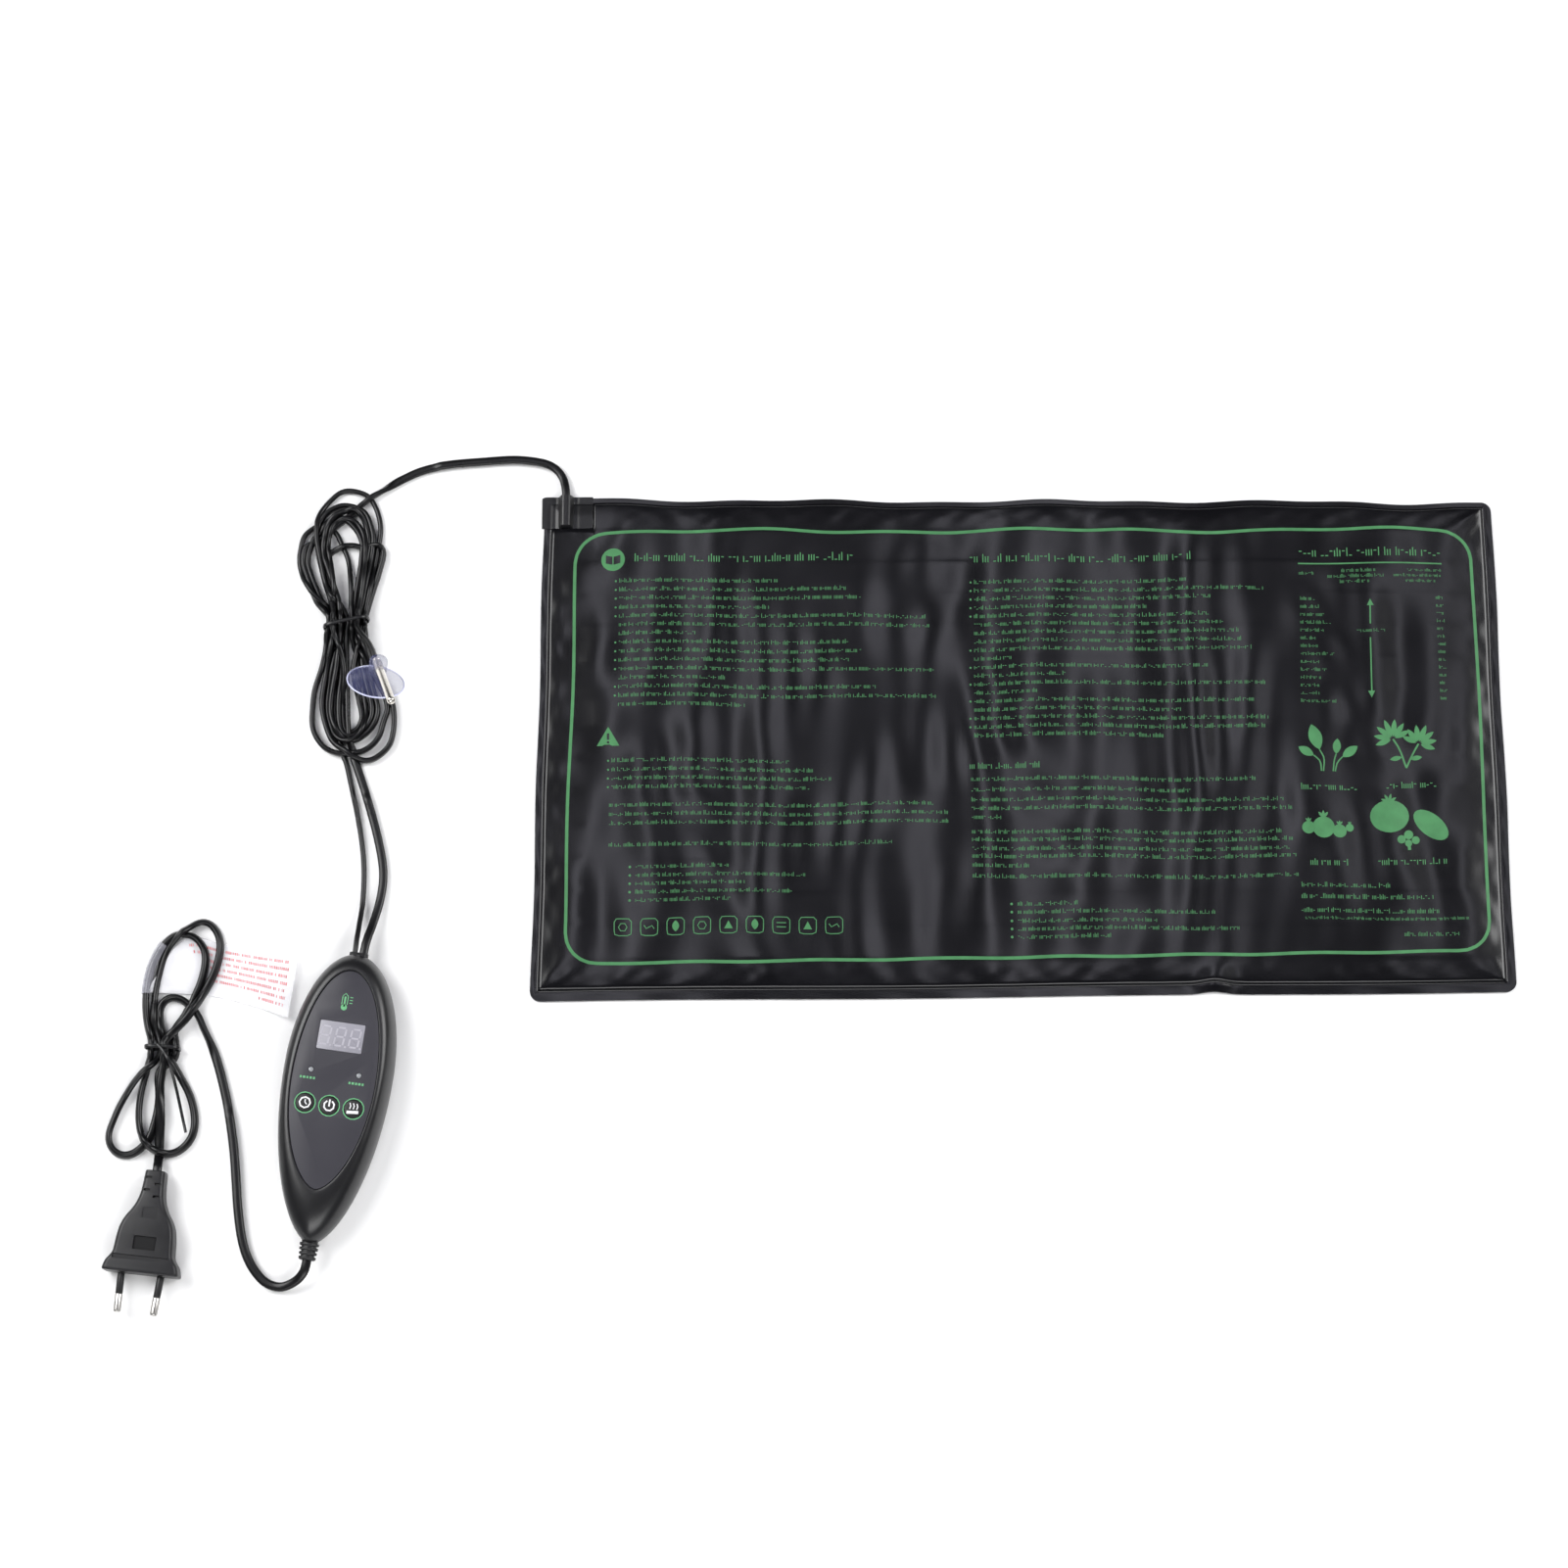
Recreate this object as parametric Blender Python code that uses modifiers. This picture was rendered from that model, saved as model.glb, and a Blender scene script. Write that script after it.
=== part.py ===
"""Seedling heat mat with its controller, probe, leads and plug, as separate pieces on a bench.

Metres, +Z up. The origin is the centre of the mat's underside, on the bench.
+X runs along the mat's long side, away from its lead, and +Y points at the side the lead leaves.
"""

import math

import bmesh
import bpy
import numpy as np
from mathutils import Matrix, Vector

MM = 0.001
GAP = 0.3 * MM

# Mat
MAT_WIDTH = 480 * MM
MAT_DEPTH = 252 * MM
MAT_CORNER = 5 * MM
COVER = 0.4 * MM
HEM = 5 * MM
MAT_TOP = 3.0 * MM
PAD_BOTTOM = COVER + GAP
PAD_TOP = 1.0 * MM
FOIL_TOP = 1.4 * MM
WIRE_RADIUS = 0.3 * MM
WIRE_HEIGHT = 2.0 * MM
WIRE_RUNS = 14

# The corner where the lead comes in
ENTRY_X = -226.3 * MM
ENTRY_LEFT = -239.0 * MM
ENTRY_RIGHT = -211.5 * MM
ENTRY_FRONT = 107.5 * MM
ENTRY_BACK = 127.0 * MM

# Leads
MAT_LEAD = 4.2 * MM
PROBE_LEAD = 2.6 * MM
MAINS_LEAD = 5.0 * MM

# Controller, in its own frame: +Y towards the two thin leads, z = 0 on the bench
CASE_CENTRE = Vector((-333.6 * MM, -177.5 * MM, 0))
CASE_YAW = math.radians(-8.1)
CASE_HALF_WIDTH = 26.3 * MM
CASE_TOP = 69.8 * MM
CASE_BOTTOM = -69.8 * MM
CASE_WIDEST = 12.5 * MM
PANEL_HALF_WIDTH = 20.6 * MM
PANEL_TOP = 60.2 * MM
PANEL_BOTTOM = -47.0 * MM
PANEL_WIDEST = 6.5 * MM
CASE_WALL = 2.0 * MM
PARTING = 9.0 * MM
SEAM = GAP
CASE_HEIGHT = 22.0 * MM
RECESS = 1.1 * MM
LEAD_HEIGHT = 9.15 * MM
BOARD_BOTTOM = 11.5 * MM
BOARD_TOP = 13.1 * MM
BUTTON_RADIUS = 4.45 * MM
BUTTON_Y = -6.2 * MM
BUTTONS = {"timer": -11.7 * MM, "power": 0.0, "heat": 11.7 * MM}
LED_SPOTS = {"timer": -11.6 * MM, "heat": 11.6 * MM}
LED_Y = 10.0 * MM
LED_RADIUS = 1.2 * MM
DISPLAY_Y = 27.4 * MM
DISPLAY = (21.8 * MM, 14.0 * MM)
SCREWS = [(-10.5 * MM, 55.0 * MM), (10.5 * MM, 55.0 * MM), (0.0, -53.5 * MM)]

# Probe and its suction cup: the hole in the cup's nipple, the probe's axis and the cup's own axis
NIPPLE = Vector((-315.2, 31.3, 32.8)) * MM
PROBE_AXIS = Vector((0.290, -0.745, 0.600)).normalized()
CUP_AXIS = Vector((0.190, 0.660, 0.728)).normalized()
PROBE_RADIUS = 2.1 * MM
PROBE_REACH = 32.0 * MM
PROBE_ROOT = 5.0 * MM

# Plug, in its own frame: +Y towards the cord
PLUG_BASE = Vector((-423.6 * MM, -261.9 * MM, 7.0 * MM))
PLUG_YAW = math.radians(-6.6)
PLUG_THICK = 13.6 * MM
PIN_SPREAD = 9.5 * MM
PIN_TOE_IN = math.radians(2.4)

# Hanks: spine points as (x, y, half-width), from one round end through the tie to the other
UPPER_SPINE = [(-337.7, 131.5, 22.0), (-334.9, 60.7, 10.2), (-327.6, -9.3, 21.5)]
LOWER_SPINE = [(-405.2, -89.0, 18.0), (-418.3, -152.7, 8.4), (-423.4, -205.5, 21.5)]
HANK_BOTTOM = 2.2 * MM
UPPER_HANK_TOP = 15.4 * MM
LOWER_HANK_TOP = 12.6 * MM
TIE_WIRE = 0.75 * MM

# Routes of the free leads, in millimetres
MAT_LEAD_TO_HANK = [
    (-226.3, 127.4, 3.9), (-226.6, 131.5, 3.2), (-228.1, 137.5, 2.3), (-232.0, 142.6, 2.2),
    (-238.8, 145.8, 2.2), (-252.0, 147.4, 2.2), (-268.0, 146.5, 2.2), (-285.0, 145.0, 2.2),
    (-298.6, 142.3, 2.4), (-308.8, 137.6, 3.4), (-314.6, 134.2, 4.6), (-317.6, 132.2, 5.4),
]
MAT_LEAD_TO_CASE = [
    (-328.6, -10.6, 5.2), (-325.0, -20.8, 3.4), (-320.8, -34.0, 2.3), (-317.0, -47.5, 2.2),
    (-314.2, -60.8, 2.2), (-313.7, -70.4, 2.2), (-315.1, -80.9, 3.0), (-317.7, -91.5, 5.2),
    (-320.0, -99.8, 8.0), (-321.3, -106.2, 9.1),
]
PROBE_LEAD_TO_CASE = [
    (-333.2, -10.4, 5.2), (-331.0, -20.0, 3.0), (-327.3, -36.0, 1.6), (-324.4, -52.0, 1.5),
    (-323.2, -66.0, 1.5), (-323.4, -80.9, 2.4), (-324.4, -92.0, 5.4), (-325.1, -99.9, 8.0),
    (-325.5, -105.5, 9.1),
]
PROBE_LEAD_TO_TIE = [
    (-318.3, 39.3, 26.4), (-319.9, 43.6, 22.6), (-321.3, 48.6, 19.2),
    (-322.6, 53.4, 17.6), (-323.6, 58.2, 17.2),
]
MAINS_LEAD_TO_HANK = [
    (-344.9, -257.1, 9.0), (-346.4, -261.6, 8.2), (-350.8, -265.6, 5.6), (-358.0, -267.8, 3.3),
    (-365.8, -264.9, 2.6), (-372.6, -256.4, 2.6), (-376.7, -245.6, 2.6), (-379.2, -231.2, 2.6),
    (-380.7, -216.2, 2.6), (-382.4, -200.6, 2.6), (-385.2, -184.4, 2.6), (-388.8, -169.1, 2.8),
    (-392.9, -155.8, 4.0), (-396.5, -147.6, 6.0), (-398.4, -143.8, 7.4),
]
MAINS_LEAD_TO_PLUG = [(-418.3, -206.3, 4.6), (-418.1, -208.7, 5.4), (-417.9, -211.0, 6.4)]


# ---------------------------------------------------------------- scene helpers


def clear_scene():
    for obj in list(bpy.data.objects):
        bpy.data.objects.remove(obj, do_unlink=True)
    for group in list(bpy.data.collections):
        bpy.data.collections.remove(group)


def new_collection(name):
    group = bpy.data.collections.new(name)
    bpy.context.scene.collection.children.link(group)
    return group


def material(name, colour, roughness, metallic=0.0, alpha=1.0):
    """A Principled material, made once for each name."""
    found = bpy.data.materials.get(name)
    if found:
        return found
    made = bpy.data.materials.new(name)
    made.use_nodes = True
    shader = made.node_tree.nodes["Principled BSDF"]
    shader.inputs["Base Color"].default_value = (*colour, 1)
    shader.inputs["Roughness"].default_value = roughness
    shader.inputs["Metallic"].default_value = metallic
    shader.inputs["Alpha"].default_value = alpha
    made.diffuse_color = (*colour, alpha)
    return made


def link(obj, group, finish=None, parent=None):
    for home in list(obj.users_collection):
        home.objects.unlink(obj)
    group.objects.link(obj)
    if finish:
        obj.data.materials.clear()
        obj.data.materials.append(finish)
    if parent:
        obj.parent = parent
    return obj


def mesh_object(name, bm, smooth=True):
    mesh = bpy.data.meshes.new(name)
    bm.to_mesh(mesh)
    bm.free()
    if smooth:
        mesh.shade_smooth()
        mesh.set_sharp_from_angle(angle=math.radians(35))
    return bpy.data.objects.new(name, mesh)


def box(name, size, centre):
    bm = bmesh.new()
    bmesh.ops.create_cube(bm, size=1.0)
    bmesh.ops.scale(bm, vec=Vector(size), verts=bm.verts)
    obj = mesh_object(name, bm, smooth=False)
    obj.location = centre
    return obj


def bar(name, low, high):
    """A box from its lowest and highest corners."""
    low, high = Vector(low), Vector(high)
    return box(name, high - low, (low + high) / 2)


def cylinder(name, radius, bottom, top, x=0.0, y=0.0, sides=24):
    bm = bmesh.new()
    depth = top - bottom
    bmesh.ops.create_cone(bm, cap_ends=True, segments=sides, radius1=radius, radius2=radius, depth=depth)
    obj = mesh_object(name, bm)
    obj.location = (x, y, (bottom + top) / 2)
    return obj


def turned(name, profile, sides=24):
    """A solid turned about +Z from (radius, height) points that run down its outer side."""
    mesh = bpy.data.meshes.new(name)
    points = [(radius, 0, height) for radius, height in profile]
    mesh.from_pydata(points, [(k, k + 1) for k in range(len(points) - 1)], [])
    obj = bpy.data.objects.new(name, mesh)
    screw = obj.modifiers.new("turn", "SCREW")
    screw.steps = screw.render_steps = sides
    screw.use_merge_vertices = True
    screw.merge_threshold = 0.00001
    screw.use_smooth_shade = True
    return obj


def loft(name, rings, smooth=True):
    """A closed solid through rings of equally many points, capped at both ends."""
    bm = bmesh.new()
    rows = [[bm.verts.new(point) for point in ring] for ring in rings]
    count = len(rows[0])
    for lower, upper in zip(rows, rows[1:]):
        for k in range(count):
            bm.faces.new((lower[k], lower[(k + 1) % count], upper[(k + 1) % count], upper[k]))
    bm.faces.new(reversed(rows[0]))
    bm.faces.new(rows[-1])
    bmesh.ops.recalc_face_normals(bm, faces=bm.faces)
    return mesh_object(name, bm, smooth)


def plate(name, outline, bottom, top, bevel=0.0):
    """A flat outline filled as a 2D curve and extruded, with its edges rounded by the bevel."""
    curve = bpy.data.curves.new(name, "CURVE")
    curve.dimensions = "2D"
    curve.fill_mode = "BOTH"
    curve.extrude = (top - bottom) / 2 - bevel
    curve.bevel_depth = bevel
    curve.bevel_resolution = 0
    curve.offset = -bevel
    spline = curve.splines.new("POLY")
    spline.points.add(len(outline) - 1)
    for point, (x, y) in zip(spline.points, outline):
        point.co = (x, y, 0, 1)
    spline.use_cyclic_u = True
    obj = bpy.data.objects.new(name, curve)
    obj.location.z = (top + bottom) / 2
    return obj


def as_mesh(obj, group):
    """The curve object as a welded mesh, so that it can be cut or joined."""
    group.objects.link(obj)
    bpy.context.view_layer.update()
    graph = bpy.context.evaluated_depsgraph_get()
    mesh = bpy.data.meshes.new_from_object(obj.evaluated_get(graph))
    bm = bmesh.new()
    bm.from_mesh(mesh)
    bmesh.ops.remove_doubles(bm, verts=bm.verts, dist=0.00001)
    bmesh.ops.recalc_face_normals(bm, faces=bm.faces)
    bm.to_mesh(mesh)
    bm.free()
    made = bpy.data.objects.new(obj.name + "_solid", mesh)
    made.matrix_world = obj.matrix_world.copy()
    name = obj.name
    bpy.data.objects.remove(obj, do_unlink=True)
    made.name = name
    return made


def smooth_route(points, spacing):
    """Points read at an even spacing from a smooth curve through the route's own points."""
    route = np.array(points, float)
    ends = np.vstack([2 * route[0] - route[1], route, 2 * route[-1] - route[-2]])
    fine = []
    for k in range(len(route) - 1):
        before, start, end, after = ends[k : k + 4]
        for t in np.linspace(0, 1, 24, endpoint=False):
            fine.append(
                0.5 * (2 * start + (end - before) * t
                       + (2 * before - 5 * start + 4 * end - after) * t**2
                       + (3 * start - before - 3 * end + after) * t**3)
            )
    fine = np.vstack([fine, route[-1:]])
    along = np.concatenate([[0], np.cumsum(np.linalg.norm(np.diff(fine, axis=0), axis=1))])
    stations = np.linspace(0, along[-1], max(2, round(along[-1] / spacing)) + 1)
    return np.stack([np.interp(stations, along, fine[:, k]) for k in range(3)], axis=1)


def tube(name, points, radius, resolution=2, closed=False):
    """A round wire along the points."""
    curve = bpy.data.curves.new(name, "CURVE")
    curve.dimensions = "3D"
    curve.bevel_depth = radius
    curve.bevel_resolution = resolution
    curve.use_fill_caps = not closed
    spline = curve.splines.new("POLY")
    spline.points.add(len(points) - 1)
    for point, place in zip(spline.points, points):
        point.co = (*place, 1)
    spline.use_cyclic_u = closed
    return bpy.data.objects.new(name, curve)


def lead(name, route, diameter):
    return tube(name, smooth_route(np.array(route) * MM, 2.2 * diameter), diameter / 2)


def hidden_cutter(obj, cutters, parent=None):
    cutters.objects.link(obj)
    obj.parent = parent
    obj.hide_render = True
    obj.display_type = "WIRE"
    return obj


def boolean(obj, other, operation):
    modifier = obj.modifiers.new(operation.lower() + "_" + other.name, "BOOLEAN")
    modifier.operation = operation
    modifier.solver = "EXACT"
    modifier.object = other


# ---------------------------------------------------------------- outlines


def rounded_rectangle(half_x, half_y, radius, steps=4):
    """Points round a rectangle with arcs at its corners, anticlockwise."""
    points = []
    for turn, (sx, sy) in enumerate([(1, 1), (-1, 1), (-1, -1), (1, -1)]):
        for k in range(steps + 1):
            angle = math.pi / 2 * (turn + k / steps)
            points.append((
                sx * (half_x - radius) + radius * math.cos(angle),
                sy * (half_y - radius) + radius * math.sin(angle),
            ))
    return points


def egg_width(y, half_width, top, bottom, widest):
    """Half the width of an egg outline at y: a half-ellipse above its widest line, a fuller taper below."""
    if y >= widest:
        return half_width * math.sqrt(max(0.0, 1 - ((y - widest) / (top - widest)) ** 2))
    return half_width * max(0.0, 1 - ((widest - y) / (widest - bottom)) ** 2) ** 0.60


def egg(half_width, top, bottom, widest, points=36):
    """An egg outline, anticlockwise, with its points spread evenly by angle about the widest line."""
    outline = []
    for k in range(points):
        angle = 2 * math.pi * (k + 0.5) / points
        reach = (top - widest) if math.sin(angle) > 0 else (widest - bottom)
        y = widest + reach * math.sin(angle)
        width = egg_width(y, half_width, top, bottom, widest)
        outline.append((math.copysign(width, math.cos(angle)), y))
    return outline


def case_outline():
    return egg(CASE_HALF_WIDTH, CASE_TOP, CASE_BOTTOM - 1.5 * MM, CASE_WIDEST)


def panel_outline():
    return egg(PANEL_HALF_WIDTH, PANEL_TOP, PANEL_BOTTOM, PANEL_WIDEST)


def shrunk(outline, inset, centre_y=CASE_WIDEST):
    """The outline drawn in towards its centre by the inset at its widest."""
    factor_x = 1 - inset / CASE_HALF_WIDTH
    factor_y = 1 - inset / (CASE_TOP - CASE_WIDEST)
    return [(x * factor_x, centre_y + (y - centre_y) * factor_y) for x, y in outline]


def hank_outline(spine, steps=8):
    """The outline round a hank: two teardrop lobes with round ends that meet at the tie."""
    top, tie, bottom = [np.array(point[:2]) * MM for point in spine]
    wide_top, wide_tie, wide_bottom = [point[2] * MM for point in spine]
    sides = []
    for end, wide in ((top, wide_top), (bottom, wide_bottom)):
        reach = np.linalg.norm(end - tie)
        along = (end - tie) / reach
        across = np.array([along[1], -along[0]])
        widest = reach - 1.15 * wide
        half = []
        for k in range(steps + 1):
            part = k / steps
            width = wide_tie + (wide - wide_tie) * (0.5 - 0.5 * math.cos(math.pi * part))
            half.append((widest * part, width))
        for k in range(1, steps // 2):
            angle = math.pi / 2 * k / (steps // 2)
            half.append((widest + 1.15 * wide * math.sin(angle), wide * math.cos(angle)))
        right = [tie + along * s + across * w for s, w in half]
        left = [tie + along * s - across * w for s, w in half]
        sides.append(right + left[::-1])
    upper, lower = sides
    points = upper + lower[1:-1]
    return [tuple(point) for point in points]


# ---------------------------------------------------------------- mat


def mat_rings(steps):
    """Rings of the mat's outline as (inset, height) pairs."""
    rings = []
    for inset, height in steps:
        flat = rounded_rectangle(MAT_WIDTH / 2 - inset, MAT_DEPTH / 2 - inset, MAT_CORNER)
        rings.append([(x, y, height) for x, y in flat])
    return rings


def build_mat(parts):
    pvc = material("black_pvc", (0.018, 0.018, 0.020), 0.38)
    pad = material("white_felt", (0.75, 0.74, 0.70), 0.95)
    foil = material("bright_foil", (0.80, 0.80, 0.81), 0.25, 1.0)
    copper = material("enamelled_heating_wire", (0.45, 0.12, 0.06), 0.4)

    bottom = plate("mat_bottom_cover", rounded_rectangle(MAT_WIDTH / 2, MAT_DEPTH / 2, MAT_CORNER), 0, COVER)
    link(bottom, parts, pvc)

    rings = mat_rings([
        (HEM + 4 * MM, MAT_TOP - COVER), (HEM, PAD_BOTTOM + COVER), (HEM, PAD_BOTTOM),
        (0, PAD_BOTTOM), (0, PAD_BOTTOM + COVER), (HEM - COVER, PAD_BOTTOM + 2 * COVER),
        (HEM + 3.4 * MM, MAT_TOP),
    ])
    link(loft("mat_top_cover", rings), parts, pvc)

    inner = rounded_rectangle(MAT_WIDTH / 2 - HEM - 1.5 * MM, MAT_DEPTH / 2 - HEM - 1.5 * MM, MAT_CORNER)
    link(plate("insulation_pad", inner, PAD_BOTTOM, PAD_TOP), parts, pad)
    inner = rounded_rectangle(MAT_WIDTH / 2 - HEM - 5 * MM, MAT_DEPTH / 2 - HEM - 5 * MM, MAT_CORNER)
    link(plate("reflective_foil", inner, PAD_TOP + GAP, FOIL_TOP), parts, foil)
    link(tube("heating_wire", heating_route(), WIRE_RADIUS), parts, copper)
    build_entry(parts, pvc)


def heating_route():
    """The element's serpentine: straight runs along the mat, joined by half-turns."""
    margin = 18 * MM
    left, right = -MAT_WIDTH / 2 + margin, MAT_WIDTH / 2 - margin
    pitch = (MAT_DEPTH - 2 * margin) / (WIRE_RUNS - 1)
    points = []
    for run in range(WIRE_RUNS):
        y = MAT_DEPTH / 2 - margin - run * pitch
        ends = [(left, y), (right, y)] if run % 2 == 0 else [(right, y), (left, y)]
        points += [(x, run_y, WIRE_HEIGHT) for x, run_y in ends]
        if run == WIRE_RUNS - 1:
            break
        outward = 1 if run % 2 == 0 else -1
        for k in (1, 2, 3):
            angle = math.pi / 4 * k
            points.append((
                ends[1][0] + outward * pitch / 2 * math.sin(angle),
                y - pitch / 2 * (1 - math.cos(angle)),
                WIRE_HEIGHT,
            ))
    return points


def build_entry(parts, pvc):
    """The welded corner patch: a plate with an arched channel over the lead and its two splices."""
    base = MAT_TOP + GAP
    deck = base + 0.8 * MM
    outer, inner, rise = 3.3 * MM, 2.4 * MM, 3.2 * MM
    arch = [math.pi * k / 8 for k in range(9)]
    section = [(ENTRY_RIGHT, base), (ENTRY_RIGHT, deck)]
    section += [(ENTRY_X + outer * math.cos(a), deck + rise * math.sin(a)) for a in arch]
    section += [(ENTRY_LEFT, deck), (ENTRY_LEFT, base)]
    section += [(ENTRY_X - inner * math.cos(a), base + (rise - 0.1 * MM) * math.sin(a)) for a in arch]
    rings = [[(x, y, z) for x, z in section] for y in (ENTRY_FRONT, ENTRY_BACK)]
    link(loft("mat_cord_entry", rings), parts, pvc)

    sleeve = material("splice_sleeve", (0.70, 0.68, 0.62), 0.5)
    for side, name in ((-1, "splice_left"), (1, "splice_right")):
        obj = cylinder(name, 0.75 * MM, -4 * MM, 4 * MM, sides=12)
        obj.location = (ENTRY_X + side * 1.05 * MM, 116 * MM, base + 1.1 * MM)
        obj.rotation_euler.x = math.pi / 2
        link(obj, parts, sleeve)


# ---------------------------------------------------------------- controller


def case_frame(parts):
    frame = bpy.data.objects.new("controller_frame", None)
    parts.objects.link(frame)
    frame.location = CASE_CENTRE
    frame.rotation_euler.z = CASE_YAW
    return frame


def dome_rings(rim, crown, height, angles):
    """Rings that rise from the rim at the parting line over a quarter-round to the crown's outline."""
    rings = []
    for angle in angles:
        part = 1 - math.cos(angle)
        z = PARTING + SEAM / 2 + (height - PARTING) * math.sin(angle) ** 0.9
        ring = []
        for (x0, y0), (x1, y1) in zip(rim, crown):
            ring.append((x0 + (x1 - x0) * part, y0 + (y1 - y0) * part, z))
        rings.append(ring)
    return rings


def flat_rings(outline, steps):
    """Level rings of the outline as (inset, height) pairs, in millimetres."""
    rings = []
    for inset, height in steps:
        rings.append([(x, y, height * MM) for x, y in shrunk(outline, inset * MM)])
    return rings


def case_openings(cutters, frame):
    """The holes that face and front shell share: buttons, indicators and display, and the cord outlets."""
    low, high = 15 * MM, CASE_HEIGHT + 2 * MM
    face = []
    for name, x in BUTTONS.items():
        face.append(cylinder(f"{name}_hole", BUTTON_RADIUS + GAP, low, high, x, BUTTON_Y))
    for name, x in LED_SPOTS.items():
        face.append(cylinder(f"{name}_led_hole", LED_RADIUS + GAP, low, high, x, LED_Y, sides=16))
    half_x, half_y = DISPLAY[0] / 2 + GAP, DISPLAY[1] / 2 + GAP
    face.append(bar("display_hole", (-half_x, DISPLAY_Y - half_y, low), (half_x, DISPLAY_Y + half_y, high)))
    outlets = [
        bar("mains_outlet", (-3.8 * MM, CASE_BOTTOM - 5 * MM, 5.8 * MM),
            (3.8 * MM, CASE_BOTTOM + 9 * MM, 12.3 * MM)),
        bar("lead_outlet", (-4.9 * MM, CASE_TOP - 5 * MM, 6.4 * MM),
            (4.9 * MM, CASE_TOP + 5 * MM, 11.9 * MM)),
    ]
    for cutter in face + outlets:
        hidden_cutter(cutter, cutters, frame)
    return face, outlets


def build_shells(parts, cutters, frame):
    black = material("satin_black_case", (0.020, 0.020, 0.022), 0.32)
    face, outlets = case_openings(cutters, frame)
    outline, panel = case_outline(), panel_outline()

    wall, rim = CASE_WALL / MM, PARTING / MM - SEAM / MM / 2
    outer = flat_rings(outline, [(5.0, 0.0), (2.2, 0.9), (0.8, 3.0), (0.15, 6.0), (0.0, rim)])
    inner = flat_rings(outline, [(wall + 4.0, wall), (wall + 1.6, 3.0), (wall + 0.5, 5.0), (wall, rim)])
    back = loft("controller_back_shell", inner + outer[::-1])
    link(back, parts, black, frame)

    dome = [math.pi / 2 * k / 6 for k in range(7)]
    ceiling = CASE_HEIGHT - RECESS - CASE_WALL
    inner = dome_rings(shrunk(outline, CASE_WALL), panel, ceiling, dome)
    outer = dome_rings(outline, panel, CASE_HEIGHT, dome)
    floor = [(x, y, CASE_HEIGHT - RECESS) for x, y in panel]
    front = loft("controller_front_shell", inner[::-1] + outer + [floor])
    link(front, parts, black, frame)

    for outlet in outlets:
        boolean(back, outlet, "DIFFERENCE")
        boolean(front, outlet, "DIFFERENCE")
    for cutter in face:
        boolean(front, cutter, "DIFFERENCE")

    build_screws(parts, cutters, frame, back, front)
    build_face(parts, frame, face)


def build_screws(parts, cutters, frame, back, front):
    """Screw posts joined to both shells, their bores, and the screws that go up through them."""
    steel = material("zinc_steel", (0.55, 0.55, 0.56), 0.35, 1.0)
    post_top, floor = PARTING - SEAM / 2, 1.0 * MM
    boss_low, boss_high = PARTING + SEAM / 2, 20.3 * MM
    for number, (x, y) in enumerate(SCREWS, 1):
        post = cylinder(f"post_{number}", 3.6 * MM, floor, post_top, x, y)
        bore = cylinder(f"head_bore_{number}", 2.6 * MM, -1 * MM, 5 * MM, x, y)
        hole = cylinder(f"shank_hole_{number}", 1.45 * MM, 4 * MM, 16 * MM, x, y, 16)
        boss = cylinder(f"boss_{number}", 2.7 * MM, boss_low, boss_high, x, y)
        for cutter in (post, bore, hole, boss):
            hidden_cutter(cutter, cutters, frame)
        boolean(back, post, "UNION")
        boolean(back, bore, "DIFFERENCE")
        boolean(back, hole, "DIFFERENCE")
        boolean(front, boss, "UNION")
        boolean(front, hole, "DIFFERENCE")
        profile = [
            (0, 14.5), (1.0, 14.0), (1.1, 13.0), (1.1, 4.7),
            (2.2, 4.7), (2.2, 3.3), (1.6, 2.9), (0, 2.9),
        ]
        screw = turned(f"case_screw_{number}", [(r * MM, h * MM) for r, h in profile], 16)
        screw.location = (x, y, 0)
        link(screw, parts, steel, frame)


def build_face(parts, frame, face):
    grey = material("slate_faceplate", (0.045, 0.048, 0.058), 0.55)
    smoke = material("display_filter", (0.36, 0.36, 0.38), 0.3)
    bottom, top = CASE_HEIGHT - RECESS + GAP, CASE_HEIGHT + 0.1 * MM
    inset = 0.35 * MM
    outline = egg(PANEL_HALF_WIDTH - inset, PANEL_TOP - inset, PANEL_BOTTOM + inset, PANEL_WIDEST)
    face_plate = loft("faceplate", [[(x, y, z) for x, y in outline] for z in (bottom, top)])
    link(face_plate, parts, grey, frame)
    for cutter in face:
        boolean(face_plate, cutter, "DIFFERENCE")

    half_x, half_y = DISPLAY[0] / 2, DISPLAY[1] / 2
    window = bar("display_window", (-half_x, DISPLAY_Y - half_y, bottom), (half_x, DISPLAY_Y + half_y, top))
    link(window, parts, smoke, frame)


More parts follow.
